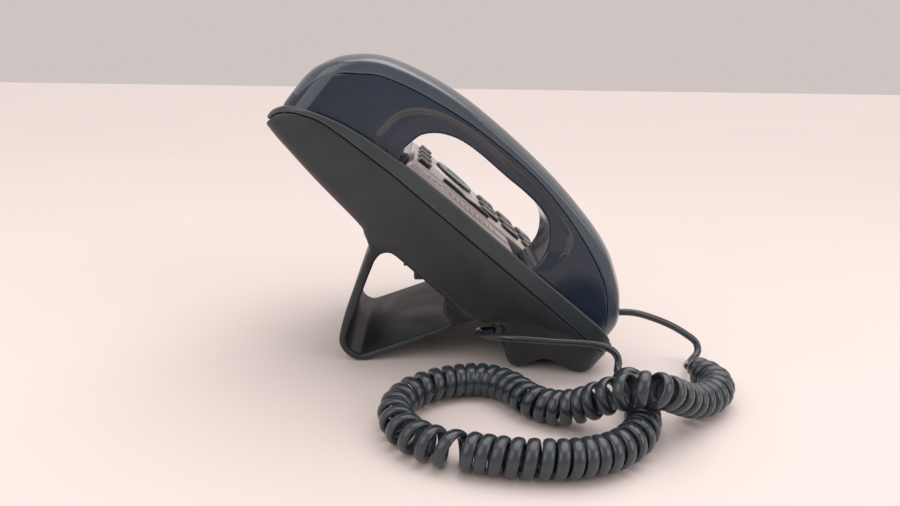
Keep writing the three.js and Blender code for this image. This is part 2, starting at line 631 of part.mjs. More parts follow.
// ----------------------------------------------------------------- internals
addPart('keypad_membrane', prism(
  roundedRect(17.4, -44, 76, 118, 4), ...MEMBRANE, FACE,
), 'rubber');
addPart('key_board', prism(roundedRect(17.4, -44, 78, 120, 2), ...KEY_BOARD, FACE), 'board');
addPart('main_board', prism(roundedRect(16, -20, 84, 130, 2), ...MAIN_BOARD, FACE), 'board');
const speakerBody = prism(circle(GRILLE.x, GRILLE.v, 17, 28), -12, -5, FACE)
  .subtract(prism(circle(GRILLE.x, GRILLE.v, 15, 28), -9, -4, FACE))
  .add(prism(circle(GRILLE.x, GRILLE.v, 9, 20), -19, -11, FACE));
addPart('loudspeaker', speakerBody, 'steel');

// ------------------------------------------------------------------- handset
const handsetX0 = HANDSET_X - HANDSET_WIDTH / 2;
const handsetX1 = HANDSET_X + HANDSET_WIDTH / 2;
const silhouette = [
  ...HANDSET_BACK, ...[...MOUTH_POD].reverse(), ...[...ARCH].reverse(), ...[...EAR_POD].reverse(),
];
const sideLimit = HANDSET_WIDTH / 2;
const coverFall = (t) => -COVER_CROWN * Math.abs(t) ** 2.6;
const acrossCover = [-1, -0.93, -0.82, -0.66, -0.45, -0.2, 0, 0.2, 0.45, 0.66, 0.82, 0.93, 1];
const coverOuter = acrossCover.map((t) => [HANDSET_X + t * sideLimit, coverFall(t)]);
const coverInner = acrossCover
  .map((t) => [HANDSET_X + t * (sideLimit - HANDSET_WALL), coverFall(t) - HANDSET_WALL]);
const coverSolidSection = [...coverOuter, [handsetX1, -COVER_DEPTH], [handsetX0, -COVER_DEPTH]];
const coverHollowSection = [
  ...coverInner,
  [handsetX1 - HANDSET_WALL, -COVER_DEPTH - 2],
  [handsetX0 + HANDSET_WALL, -COVER_DEPTH - 2],
];
const HANDSET_PLAN = { v: -12.5, length: 205, radius: 17.6 };
function handsetPlan(inset) {
  const { v, length, radius } = HANDSET_PLAN;
  const width = HANDSET_WIDTH - 2 * inset;
  const outline = roundedRect(HANDSET_X, v, width, length - 2 * inset, radius - inset, 6);
  return prism(outline, -90, 60, FACE);
}
const plugTunnel = prism(roundedRect(HANDSET_X, HANDSET_JACK.z, 10.2, 7.4, 0.6, 2), 66, 105, FRONT);
const coverHollow = sweepAlong(HANDSET_BACK, coverHollowSection).intersect(handsetPlan(HANDSET_WALL));
const cover = sweepAlong(HANDSET_BACK, coverSolidSection)
  .intersect(handsetPlan(0))
  .subtract(coverHollow)
  .subtract(plugTunnel);
addPart('handset_cover', cover, 'cover');

const BAND = 8.4;                  // width of the bevel round the finger arch
const BAND_CUT = 1.6;
const archFloor = [[128, 48], [66, 98]];
const bandLine = offsetLine(ARCH, BAND);
const archOutline = [...ARCH, ...archFloor];
const bandOutline = [...bandLine, ...archFloor];
const coverEnvelope = sweepAlong(HANDSET_BACK, [
  [handsetX0 - 5, -COVER_DEPTH - GAP], [handsetX1 + 5, -COVER_DEPTH - GAP],
  [handsetX1 + 5, 8], [handsetX0 - 5, 8],
]);
const grooveLine = offsetLine(ARCH, HANDSET_WALL);
const handsetCavity = acrossWidth([
  [16, 132.8], [61, 107.4], ...grooveLine, [127.4, 55.2], [151.4, 30.6], [161.2, 24], [168, 22],
  ...offsetLine(HANDSET_BACK, -5).slice(3, -2).reverse(),
], handsetX0 + 2.6, handsetX1 - 2.6)
  .intersect(handsetPlan(2.6))
  .intersect(bowlColumn(WALL + 3.2));
const band = (sign) => bridge(
  bandOutline, HANDSET_X + sign * (sideLimit + 0.2),
  archOutline, HANDSET_X + sign * (sideLimit - BAND_CUT),
);
let handsetShell = acrossWidth(silhouette, handsetX0 + 0.1, handsetX1 - 0.1)
  .subtract(coverEnvelope)
  .intersect(handsetPlan(0))
  .intersect(bowlColumn(WALL + 0.9))
  .subtract(band(-1))
  .subtract(band(1))
  .subtract(handsetCavity)
  .subtract(plugTunnel);

const EAR = tiltedFrame(Math.atan2(22.6, 40), 40, 116.8);
const MOUTH = tiltedFrame(Math.atan2(25.5, 25.4), 138, 39.5);
for (const [matrix, radius, count] of [[EAR, 6.5, 6], [MOUTH, 3, 3]]) {
  for (let i = 0; i < count; i += 1) {
    const angle = (2 * Math.PI * i) / count;
    const hole = circle(HANDSET_X + radius * Math.cos(angle), radius * Math.sin(angle), 1, 6);
    handsetShell = handsetShell.subtract(prism(hole, -2, 5, matrix));
  }
}
handsetShell = handsetShell.subtract(prism(
  roundedRect(HANDSET_X, HANDSET_JACK.z, 13.6, 10, 0.8), 70, 80, FRONT,
));
addPart('handset_shell', mainBody(handsetShell), 'gloss');
addPart('receiver_capsule', prism(circle(HANDSET_X, 0, 14, 24), 4, 11, EAR), 'steel');
addPart('microphone_capsule', prism(circle(HANDSET_X, 0, 5, 16), 4, 9, MOUTH), 'steel');
addPart('handset_weight', prism(roundedRect(HANDSET_X, 3, 22, 16, 1), 10, 18, MOUTH), 'steel');

// ------------------------------------------------------- modular jacks and plugs
const handsetJack = prism(
  roundedRect(HANDSET_X, HANDSET_JACK.z, HANDSET_JACK.width, HANDSET_JACK.height, 0.6),
  -HANDSET_JACK.y1, -HANDSET_JACK.y0, FRONT,
).subtract(prism(
  roundedRect(HANDSET_X, HANDSET_JACK.z, ...CAVITY, 0.4), -HANDSET_JACK.y1 + 2.4, 95, FRONT,
));
addPart('handset_jack', handsetJack, 'rubber');
const handsetPlug = prism(
  roundedRect(HANDSET_X, HANDSET_JACK.z, ...PLUG, 0.5),
  -HANDSET_JACK.y1 + 3, -HANDSET_PLUG_Y, FRONT,
);
addPart('handset_plug', handsetPlug, 'lens');

const baseJack = prism(
  roundedRect(BASE_JACK.x, BASE_JACK.z, BASE_JACK.width, BASE_JACK.height, 0.6),
  -BASE_JACK.y1, -BASE_JACK.y0, FRONT,
).subtract(prism(
  roundedRect(BASE_JACK.x, BASE_JACK.z, ...CAVITY, 0.4), 20, -BASE_JACK.y0 - 2.4, FRONT,
));
addPart('base_jack', baseJack, 'rubber');
addPart('base_plug', prism(
  roundedRect(BASE_JACK.x, BASE_JACK.z, ...PLUG, 0.5),
  -BASE_PLUG_Y, -BASE_JACK.y0 - 3, FRONT,
), 'lens');

// ----------------------------------------------------------------------- cord
addPart('cord_base_tail', tube(BASE_TAIL, CORD_RADIUS, 8, 5), 'cord');
addPart('cord_coil', tube(COIL_ROUTE, COIL_RADIUS, COIL_SIDES, 11), 'cord');
addPart('cord_handset_tail', tube(HANDSET_TAIL, CORD_RADIUS, 8, 5), 'cord');

export default root;
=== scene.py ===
import json
import math

import bmesh
import bpy
import numpy as np
import openvdb
from mathutils import Matrix, Vector


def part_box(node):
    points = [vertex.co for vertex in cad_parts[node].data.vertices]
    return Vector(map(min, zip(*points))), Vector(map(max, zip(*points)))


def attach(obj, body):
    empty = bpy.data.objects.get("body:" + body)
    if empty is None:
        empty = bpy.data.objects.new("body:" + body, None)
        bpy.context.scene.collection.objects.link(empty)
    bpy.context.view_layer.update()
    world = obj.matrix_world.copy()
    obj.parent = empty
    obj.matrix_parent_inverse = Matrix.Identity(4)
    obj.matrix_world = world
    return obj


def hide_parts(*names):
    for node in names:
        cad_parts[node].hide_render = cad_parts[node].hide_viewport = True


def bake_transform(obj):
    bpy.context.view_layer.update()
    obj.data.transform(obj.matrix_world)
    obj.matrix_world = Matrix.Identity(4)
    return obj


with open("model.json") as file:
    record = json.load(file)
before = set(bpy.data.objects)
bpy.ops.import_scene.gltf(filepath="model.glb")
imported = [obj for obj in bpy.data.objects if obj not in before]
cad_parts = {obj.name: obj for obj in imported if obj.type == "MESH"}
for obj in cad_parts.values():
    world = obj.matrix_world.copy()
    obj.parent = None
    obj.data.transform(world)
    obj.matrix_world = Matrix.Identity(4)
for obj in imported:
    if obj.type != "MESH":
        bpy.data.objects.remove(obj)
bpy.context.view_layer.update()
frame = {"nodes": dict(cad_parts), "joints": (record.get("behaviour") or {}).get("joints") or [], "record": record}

# The visual model of a desk telephone with a curly handset cord. Outlines and distances
# are in millimetres, as [run, height] from the side: run goes from the rear lip toward
# the user. They become metres when a mesh is made.
MM = 0.001
MIDDLE_RUN = 89.85
FACE_RUN, FACE_HEIGHT = 88.7, 93.1


def joint(name):
    return next(j for j in frame["joints"] if j["name"] == name)


def box_mm(node):
    """A node's lowest and highest corner, in millimetres."""
    return [np.array(corner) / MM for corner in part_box(node)]


LIFT = Vector(joint("handset_lift")["axis"])
FACE_TILT = math.atan2(-LIFT.y, LIFT.z)
HALF_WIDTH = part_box("rim_band")[1].x / MM
COVER_LOW, COVER_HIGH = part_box("handset_cover")
HANDSET_X = (COVER_LOW.x + COVER_HIGH.x) / 2 / MM
HANDSET_HALF = (COVER_HIGH.x - COVER_LOW.x) / 2 / MM
WALL = 2.6
COARSE, MEDIUM, FINE, FINEST = 0.7, 0.5, 0.3, 0.25  # grid steps that fields are sampled at
BACK_PLANE = (math.radians(48.9), 20.8, 102.5)  # tilt, run and height
UNDER_PLANE = (math.radians(40.2), 63, 58.6)


def add(name, data):
    """A new object in the scene."""
    obj = bpy.data.objects.new(name, data)
    bpy.context.scene.collection.objects.link(obj)
    return obj


# ---- camera
CAMERA_PLACE = (-0.386, 0.01225, 0.1525)
CAMERA_DIP, CAMERA_TURN, CAMERA_ROLL = 15.15, 2.07, 0.87
CAMERA_LENS, CAMERA_SENSOR = 26.8, 36


def make_camera():
    dip, turn, roll = (math.radians(a) for a in (CAMERA_DIP, CAMERA_TURN, CAMERA_ROLL))
    level_reach = math.cos(dip)
    forward = Vector((level_reach * math.cos(turn), -level_reach * math.sin(turn), -math.sin(dip)))
    level = forward.cross(Vector((0, 0, 1))).normalized()
    upright = level.cross(forward)
    right = level * math.cos(roll) + upright * math.sin(roll)
    up = upright * math.cos(roll) - level * math.sin(roll)
    data = bpy.data.cameras.new("camera")
    data.lens = CAMERA_LENS
    data.sensor_width = CAMERA_SENSOR
    data.clip_start = 0.01
    camera = add("camera", data)
    turned = Matrix((right, up, -forward)).transposed().to_4x4()
    camera.matrix_world = Matrix.Translation(CAMERA_PLACE) @ turned
    bpy.context.scene.camera = camera


make_camera()


# ---- materials
MIX_FACTOR, MIX_A, MIX_B, MIX_RESULT = 0, 6, 7, 2  # colour sockets of Blender's Mix node
WORN_FROM, WORN_TO = 0.5, 0.56  # pointiness of flat and of worn edges
DUST, DUST_SHARE = (0.55, 0.5, 0.47), 0.12


class Nodes:
    """A material's node tree, with short calls for the nodes used here."""

    def __init__(self, name):
        self.material = bpy.data.materials.new(name)
        self.material.use_nodes = True
        self.tree = self.material.node_tree
        self.shader = self.tree.nodes["Principled BSDF"]
        self.coords = self.tree.nodes.new("ShaderNodeTexCoord").outputs["Object"]

    def link(self, source, target):
        self.tree.links.new(source, target)

    def put(self, value, socket):
        """Links a node's output to a socket, or sets the socket's own value."""
        if isinstance(value, bpy.types.NodeSocket):
            self.link(value, socket)
        elif isinstance(value, (int, float)):
            socket.default_value = value
        else:
            socket.default_value = (*value, 1)

    def shade(self, name, value):
        self.put(value, self.shader.inputs[name])

    def noise(self, scale, detail=4.0, rough=0.55, distortion=0.0):
        node = self.tree.nodes.new("ShaderNodeTexNoise")
        node.inputs["Scale"].default_value = scale
        node.inputs["Detail"].default_value = detail
        node.inputs["Roughness"].default_value = rough
        node.inputs["Distortion"].default_value = distortion
        self.link(self.coords, node.inputs["Vector"])
        return node.outputs["Fac"]

    def cells(self, scale):
        node = self.tree.nodes.new("ShaderNodeTexVoronoi")
        node.inputs["Scale"].default_value = scale
        self.link(self.coords, node.inputs["Vector"])
        return node.outputs["Distance"]

    def ramp(self, source, stops, smooth=True):
        """stops are (position, grey or colour)."""
        node = self.tree.nodes.new("ShaderNodeValToRGB")
        node.color_ramp.interpolation = "EASE" if smooth else "LINEAR"
        elements = node.color_ramp.elements
        while len(elements) < len(stops):
            elements.new(0.5)
        for element, (position, value) in zip(elements, stops):
            element.position = position
            colour = (value, value, value) if isinstance(value, float) else value
            element.color = (*colour, 1)
        self.link(source, node.inputs["Fac"])
        return node.outputs["Color"]

    def mix(self, factor, a, b):
        node = self.tree.nodes.new("ShaderNodeMix")
        node.data_type = "RGBA"
        for index, value in ((MIX_FACTOR, factor), (MIX_A, a), (MIX_B, b)):
            self.put(value, node.inputs[index])
        return node.outputs[MIX_RESULT]

    def attribute(self, name):
        node = self.tree.nodes.new("ShaderNodeAttribute")
        node.attribute_name = name
        return node.outputs["Fac"]

    def edges(self):
        """Bright on worn convex edges, dark elsewhere."""
        node = self.tree.nodes.new("ShaderNodeNewGeometry")
        return self.ramp(node.outputs["Pointiness"], [(WORN_FROM, 0.0), (WORN_TO, 1.0)])

    def bump(self, height, strength, distance, below=None):
        node = self.tree.nodes.new("ShaderNodeBump")
        node.inputs["Strength"].default_value = strength
        node.inputs["Distance"].default_value = distance
        self.link(height, node.inputs["Height"])
        if below is not None:
            self.link(below, node.inputs["Normal"])
        return node.outputs["Normal"]


def plastic(name, base, rough, grain=2600, depth=0.00004, wear=0.25, coat=0.0, painted_light=None,
            metal=0.0, mottled=0.14):
    """Moulded plastic: fine spark-eroded grain, faint mottling, dust and polished edges, and, where a second
    colour is given, painted light laid where a mesh attribute marks it.
    """
    m = Nodes(name)
    mottle = m.noise(38, 5, 0.6)
    dark = tuple(c * (1 - mottled) for c in base)
    light = tuple(min(1, c * (1 + mottled) + 0.002) for c in base)
    colour = m.mix(m.ramp(mottle, [(0.3, 0.0), (0.7, 1.0)]), dark, light)
    if painted_light is not None:
        # the second colour is painted light: painted shade in the face plate's grille grooves, a painted highlight
        # on the handset's bevel
        colour = m.mix(m.ramp(m.attribute("painted_light"), [(0.47, 0.0), (0.53, 1.0)], False), colour, painted_light)
    dust = m.ramp(m.noise(950, 6, 0.75), [(0.62, 0.0), (0.78, 1.0)])
    worn = m.edges()
    edge_colour = tuple(min(1, c * 1.7 + 0.03) for c in base)
    colour = m.mix(m.mix(wear, (0, 0, 0), worn), colour, edge_colour)
    colour = m.mix(m.mix(DUST_SHARE, (0, 0, 0), dust), colour, DUST)
    m.shade("Base Color", colour)
    smears = m.noise(16, 3, 0.5, 1.2)
    low, high = max(0.03, rough - 0.07), min(1.0, rough + 0.09)
    m.shade("Roughness", m.ramp(smears, [(0.32, low), (0.7, high)]))
    grains = m.bump(m.noise(grain, 3, 0.6), 0.55, depth)
    waves = m.bump(m.noise(55, 2, 0.4), 0.25, depth * 4, grains)
    m.shade("Normal", waves)
    m.shade("Coat Weight", coat)
    m.shade("Coat Roughness", 0.12)
    m.shade("Metallic", metal)
    return m.material


def clear_plastic(name, tint, rough, clearness=0.9):
    m = Nodes(name)
    m.shade("Transmission Weight", clearness)
    m.shade("IOR", 1.5)
    colour = m.mix(m.noise(60, 3), tuple(c * 0.92 for c in tint), tint)
    m.shade("Base Color", colour)
    m.shade("Roughness", m.ramp(m.noise(220, 5, 0.7), [(0.35, rough), (0.75, rough + 0.08)]))
    m.shade("Normal", m.bump(m.noise(700, 3), 0.15, 0.00003))
    return m.material


def brushed_metal(name, base, rough):
    m = Nodes(name)
    streaks = m.noise(900, 6, 0.7, 0.3)
    m.shade("Base Color", m.mix(streaks, tuple(c * 0.8 for c in base), base))
    m.shade("Roughness", m.ramp(streaks, [(0.3, rough - 0.08), (0.7, rough + 0.12)]))
    m.shade("Normal", m.bump(streaks, 0.3, 0.00002))
    m.shade("Metallic", 1.0)
    return m.material


def circuit_board(name):
    m = Nodes(name)
    tracks = m.tree.nodes.new("ShaderNodeTexBrick")
    tracks.inputs["Scale"].default_value = 90
    tracks.inputs["Mortar Size"].default_value = 0.03
    m.link(m.coords, tracks.inputs["Vector"])
    pads = m.ramp(m.cells(260), [(0.12, 1.0), (0.17, 0.0)])
    green = m.mix(tracks.outputs["Fac"], (0.01, 0.09, 0.035), (0.03, 0.19, 0.08))
    m.shade("Base Color", m.mix(pads, green, (0.7, 0.6, 0.4)))
    m.shade("Normal", m.bump(tracks.outputs["Fac"], 0.4, 0.00005))
    m.shade("Roughness", m.ramp(m.noise(80), [(0.3, 0.35), (0.7, 0.55)]))
    return m.material


LOOKS = {
    "housing": plastic("slate_housing", (0.0165, 0.0225, 0.0275), 0.46, wear=0.2),
    "rim": plastic("slate_rim", (0.026, 0.036, 0.043), 0.36, wear=0.5),
    # its second colour is painted shade in the grille's oval grooves
    "panel": plastic(
        "silver_panel", (0.50, 0.45, 0.44), 0.36, grain=3600, wear=0.2, metal=0.35,
        mottled=0.04, painted_light=(0.10, 0.088, 0.085)),
    # its second colour is a painted highlight on the bevel above the finger arch
    "gloss": plastic(
        "satin_blue_black", (0.0075, 0.0185, 0.040), 0.2, grain=1500, depth=0.000012,
        wear=0.1, coat=0.12, painted_light=(0.052, 0.055, 0.062)),
    "cover": plastic("satin_grey_blue", (0.033, 0.052, 0.074), 0.3, grain=2400, wear=0.55, coat=0.5),
    "key": plastic("key_black", (0.014, 0.019, 0.022), 0.36, wear=0.3),
    "nav": plastic("key_teal", (0.022, 0.046, 0.052), 0.26, grain=2000, wear=0.3, coat=0.3),
    "socket": plastic("socket_black", (0.008, 0.008, 0.009), 0.35, wear=0.15),
    "plug": clear_plastic("plug_clear", (0.82, 0.85, 0.86), 0.08),
    "rubber": plastic("rubber_black", (0.014, 0.014, 0.015), 0.8, grain=1400, depth=0.0001, wear=0.1),
    "cord": plastic("cord_slate", (0.019, 0.028, 0.038), 0.26, grain=1800, depth=0.00002, wear=0.0, coat=0.3),
    "lens": clear_plastic("display_window", (0.78, 0.9, 0.9), 0.03, 0.95),
    "board": circuit_board("printed_board"),
    "steel": brushed_metal("plated_steel", (0.56, 0.57, 0.59), 0.3),
    "lamp": clear_plastic("lamp_red", (0.62, 0.07, 0.04), 0.18, 0.5),
    "legend": plastic("legend_white", (0.72, 0.74, 0.74), 0.5, grain=5000, wear=0.0),
    "screen": plastic("screen_cyan", (0.42, 0.58, 0.57), 0.3, grain=6000, depth=0.00001, wear=0.0),
    "ink": plastic("screen_ink", (0.03, 0.045, 0.06), 0.4, grain=6000, wear=0.0),
    "contact": brushed_metal("contact_gold", (0.83, 0.62, 0.25), 0.25),
}


def dress(obj, look, body=None):
    """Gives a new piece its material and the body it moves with."""
    obj.data.materials.clear()
    obj.data.materials.append(LOOKS[look])
    if body is not None:
        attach(obj, body)


# ---- curves and fields
def spline(points, step=0.8):
    """Smooth line through points, resampled about every step."""
    p = np.array(points, float)
    p = np.vstack([2 * p[0] - p[1], p, 2 * p[-1] - p[-2]])
    line = []
    for a, b, c, d in zip(p[:-3], p[1:-2], p[2:-1], p[3:]):
        count = max(2, int(np.linalg.norm(c - b) / step) + 1)
        for t in np.linspace(0, 1, count, endpoint=False):
            line.append(0.5 * (2 * b + (c - a) * t + (2 * a - 5 * b + 4 * c - d) * t * t
                               + (3 * b - a - 3 * c + d) * t ** 3))
    line.append(p[-2])
    return np.array(line)


def shifted(line, distance):
    """Line parallel to a side line; positive distance lies on its left."""
    ahead = np.gradient(np.asarray(line, float), axis=0)
    ahead /= np.linalg.norm(ahead, axis=1, keepdims=True)
    return line + distance * np.column_stack([-ahead[:, 1], ahead[:, 0]])


def chain(*lines):
    return np.vstack([np.asarray(line, float) for line in lines])


class Block:
    """Sample points in a box tilted about X: x across, v along and n out of the tilted plane."""

    def __init__(self, low, high, step, tilt=0.0, run=MIDDLE_RUN, height=0.0):
        self.low, self.step, self.tilt = np.array(low, float), step, tilt
        counts = (np.ceil((np.array(high) - self.low) / step) + 1).astype(int)
        axes = [(self.low[i] + step * np.arange(counts[i])).astype(np.float32) for i in range(3)]
        self.x = axes[0][:, None, None]
        self.v = axes[1][None, :, None]
        self.n = axes[2][None, None, :]
        self.origin = (MIDDLE_RUN - run, height)
        self.y = self.origin[0] + self.v * math.cos(tilt) - self.n * math.sin(tilt)
        self.z = self.origin[1] + self.v * math.sin(tilt) + self.n * math.cos(tilt)
        self.run = MIDDLE_RUN - self.y

    def place(self, points):
        """Grid points to metres in the row frame."""
        x, v, n = (self.low + points * self.step).T
        y = self.origin[0] + v * math.cos(self.tilt) - n * math.sin(self.tilt)
        z = self.origin[1] + v * math.sin(self.tilt) + n * math.cos(self.tilt)
        return np.column_stack([x, y, z]) * MM

    def on_plane(self, tilt, run, height):
        """Coordinates of the sample points along and out of another tilted plane."""
        dy = self.y - (MIDDLE_RUN - run)
        dz = self.z - height
        along = dy * math.cos(tilt) + dz * math.sin(tilt)
        return along, dz * math.cos(tilt) - dy * math.sin(tilt)


def from_line(points, u, v, closed=False):
    """Distance to a line of points, and for a closed one which places lie inside it."""
    u, v = np.broadcast_arrays(u, v)
    near = np.full(u.shape, 1e9, np.float32)
    within = np.zeros(u.shape, bool)
    points = np.asarray(points, np.float32)
    ends = np.roll(points, -1, axis=0) if closed else points[1:]
    for (au, av), (bu, bv) in zip(points, ends):
        eu, ev = bu - au, bv - av
        square = eu * eu + ev * ev
        if square < 1e-8:
            continue
        wu, wv = u - au, v - av
        t = np.clip((wu * eu + wv * ev) / square, 0, 1)
        near = np.minimum(near, (wu - eu * t) ** 2 + (wv - ev * t) ** 2)
        if ev != 0:
            within ^= ((av > v) != (bv > v)) & (wu < eu * wv / ev)
    return np.sqrt(near), within


def inside(outline, u, v):
    """Signed distance to a closed outline, negative inside."""
    near, within = from_line(outline, u, v, closed=True)
    return np.where(within, -1, 1) * near


def rounded(u, v, cu, cv, width, height, radius):
    """Signed distance to a rounded rectangle."""
    du = np.abs(u - cu) - width / 2 + radius
    dv = np.abs(v - cv) - height / 2 + radius
    return np.hypot(np.maximum(du, 0), np.maximum(dv, 0)) + np.minimum(np.maximum(du, dv), 0) - radius


def slab(n, low, high):
    return np.maximum(low - n, n - high)


def both(a, b, radius=0.5):
    """The overlap of two solids, its new edges rounded."""
    return np.minimum(np.maximum(a, b), -radius) + np.hypot(
        np.maximum(a + radius, 0), np.maximum(b + radius, 0))


def joined(a, b, radius=0.5):
    """Two solids together, with a fillet between them."""
    return -both(-a, -b, radius)


def cut(a, b, radius=0.4):
    """The first solid without the second."""
    return both(a, -b, radius)


def make_mesh(name, points, faces):
    mesh = bpy.data.meshes.new(name)
    mesh.from_pydata(points, [], faces)
    mesh.update()
    obj = add(name, mesh)
    mesh.polygons.foreach_set("use_smooth", [True] * len(mesh.polygons))
    return obj


FIELD_REACH = 3.0  # steps either side of a surface where its distance is kept
CRUMB = 40  # bodies with fewer points than this are left out


def from_field(name, block, field, scalars=None):
    """The surface where a distance field is zero, as one piece."""
    grid = openvdb.FloatGrid(FIELD_REACH)
    near = np.clip(field / block.step, -FIELD_REACH, FIELD_REACH)
    grid.copyFromArray(np.ascontiguousarray(near, np.float32))
    points, quads = grid.convertToQuads(isovalue=0.0)
    placed = block.place(points)
    a, b, c = (placed[quads[:, i]] for i in range(3))
    if np.einsum("ij,ij->i", a, np.cross(b, c)).sum() < 0:
        quads = quads[:, ::-1]
    obj = make_mesh(name, placed, quads)
    drop_crumbs(obj)
    if scalars is not None:
        co = np.empty(len(obj.data.vertices) * 3)
        obj.data.vertices.foreach_get("co", co)
        for key, work in scalars.items():
            values = work(*(co.reshape(-1, 3) / MM).T)
            obj.data.attributes.new(key, "FLOAT", "POINT").data.foreach_set("value", values)
    return obj


def drop_crumbs(obj):
    """Leaves out crumbs that thin places of a field may shed."""
    bm = bmesh.new()
    bm.from_mesh(obj.data)
    seen, bodies = set(), []
    for vert in bm.verts:
        if vert in seen:
            continue
        seen.add(vert)
        body, queue = [], [vert]
        while queue:
            here = queue.pop()
            body.append(here)
            for edge in here.link_edges:
                other = edge.other_vert(here)
                if other not in seen:
                    seen.add(other)
                    queue.append(other)
        bodies.append(body)
    bodies.sort(key=len)
    crumbs = [vert for body in bodies[:-1] if len(body) < CRUMB for vert in body]
    if crumbs:
        bmesh.ops.delete(bm, geom=crumbs, context="VERTS")
    bm.to_mesh(obj.data)
    bm.free()


# ---- outlines
CROWN = chain(
    spline([[0.5, 130.4], [1.6, 132.7], [5, 134.6], [10.8, 136.2], [16, 136], [23, 134.5], [31, 131.7],
            [39.1, 128.1], [47, 123.6], [55, 118.4], [64, 112.1], [73, 105.6], [88.7, 93.1]]),
    spline([[100, 83.65], [130, 58.57], [160, 33.48], [166, 28.4], [171, 22.4], [174.3, 16.4],
            [175.6, 12.6]]),
)
SEAM = chain(
    spline([[2.6, 129.4], [5, 131.4], [8.4, 132.8], [15, 133.2], [21, 132], [27.3, 129.8], [35.5, 124.6],
            [43.8, 118.5], [52.2, 112.1], [60.7, 105.6], [69.3, 98.4], [76, 92.6], [88, 82.41]]),
    [[165.5, 16.6], [171, 11.4]],
)
BACK = spline([[0.3, 128], [5, 121.4], [10.2, 115.1], [20.8, 102.5], [30.6, 91.7], [41.7, 79.8],
               [47.2, 73]])
UNDERSIDE = spline([[56, 64.5], [72, 51], [87.4, 38], [98, 28.6], [104, 26.4], [118, 24.5]])
FOOT = spline([[119, 12], [120.8, 4.4], [123.5, 0.9], [127.8, 0], [133, 2.2], [140.3, 5.6],
               [148, 3.4], [155, 0.2], [162, 0], [169, 0.2], [173.5, 3], [175, 8.4]])
STAND_OUTER = spline([
    [47.2, 73], [48.4, 65.7], [46.8, 61.3], [41.1, 46.3], [34.3, 27.5], [30.7, 13.6], [31.2, 8],
    [34.5, 3.2], [39, 0.4], [45, 0], [53.4, 3], [66.6, 7.9], [78.1, 13.2], [94.6, 19.8], [111, 25.1],
])
STAND_OPENING = spline([
    [50.8, 57.6], [53.8, 61.5], [57.8, 63.2], [60.9, 62.4], [65.6, 58.1], [72, 52], [79.5, 45.5],
    [84.3, 41.2], [87.4, 36.6], [86.6, 31], [88, 25.4], [90, 21.8], [83, 17.9], [63.4, 10.6],
    [44.8, 4], [40, 4], [36.2, 6.6], [34.6, 11], [35.6, 17], [41.6, 33.4], [46.4, 46.4], [50.8, 57.6],
])[:-1]
STAND_HALF, FLARE_HALF = 48, 61
HANDSET_BACK = spline([
    [7.4, 136.6], [8.4, 139.2], [10.4, 142.6], [14, 147], [20.5, 151.8], [28.4, 156.1], [36.2, 159],
    [43.9, 160.1], [51.2, 160.2], [58.8, 158.9], [66.6, 156.2], [74.4, 152.8], [82.2, 148.9],
    [90.1, 144.3], [98.1, 139], [105, 133.8], [113, 127.4], [122.2, 119.7], [132.3, 110.7],
    [142.5, 100.9], [153, 89.6], [163.8, 76.6], [171, 65.6], [175.5, 54.9], [178.6, 44.2],
    [179.4, 33.2], [178.5, 24.5], [176.2, 18.6],
])
ARCH = spline([
    [67, 117.1], [70.3, 119.9], [74.5, 122.9], [79.9, 124], [86.1, 123.5], [93.9, 120.6],
    [103.1, 114.4], [116.2, 103.4], [125, 96.4], [132.6, 89.2], [137.4, 82.2], [138.9, 75.4],
    [138, 68.2], [134.8, 61.6], [130.6, 57.6],
])
BAND_LINE = spline([
    [54, 125.2], [57, 128], [60.6, 131.8], [66, 134.9], [73.2, 136.1], [82.1, 134.7], [91, 130.9],
    [102.4, 123.6], [116, 112.4], [129.6, 100.2], [139.5, 89.6], [147.5, 79.4], [150.2, 72.6],
    [148.6, 66.2],
])
BAND_WIDTH, GRIP_DEPTH = 2.9, 1.5
COVER_TIP = spline([
    [11.8, 145.2], [13.2, 142.6], [14.4, 140.9], [16.4, 140.5], [18.8, 142.4], [23.9, 146.4],
    [31.1, 149.9], [38.4, 151.2], [45.7, 151],
])
SEAM_MIDDLE = spline([
    [88.4, 135], [94.9, 130.9], [101.5, 126.6], [111.5, 119], [120.5, 112], [129.8, 103.8],
    [138, 95.2], [145.3, 86.5], [152.1, 77.4], [159.1, 66.9], [163.4, 59.4],
])
EAR_POD = spline([[12.5, 131.9], [22, 127], [62, 104.4]])
MOUTH_POD = spline([[124.6, 53], [150, 27.5], [160, 21], [169, 18.6]])
COVER_DEPTH, COVER_CROWN = 9.2, 4.2
SEAM_GAP = 0.3


def under(line, u, v):
    """Signed distance to everything below a line that runs from the rear to the front."""
    (au, av), (bu, bv) = line[0], line[-1]
    return inside(chain([[au - 60, av - 45]], line, [[bu + 60, bv - 45], [bu, -90], [au - 60, -90]]), u, v)


BOWL = spline([[70.6, 30], [70.6, -6], [70.4, -10], [69.7, -15], [68.2, -20], [65.8, -26],
               [63.2, -32], [61, -38], [59.6, -46], [59, -60], [59, -120]], 2)


def bowl(block_x, n, inset=0.0):
    """Signed distance to the bowl section, which narrows with depth below the face."""
    half = np.interp(n, BOWL[::-1, 1], BOWL[::-1, 0]).astype(np.float32)
    return (np.abs(block_x) - half + inset) * 0.93


PLAN_TOP, PLAN_BOTTOM = 92, -119.5
FALL_FROM, FALL_DEPTH = 45, 6
HANDSET_V, HANDSET_LENGTH, HANDSET_CORNER = -12.5, 205, 17.6


def plan(block_x, v, inset, radius):
    """Signed distance to the case's outline square to the face."""
    width, length = 2 * (HALF_WIDTH - inset), PLAN_TOP - PLAN_BOTTOM - 2 * inset
    return rounded(block_x, v, 0, (PLAN_TOP + PLAN_BOTTOM) / 2, width, length, radius)


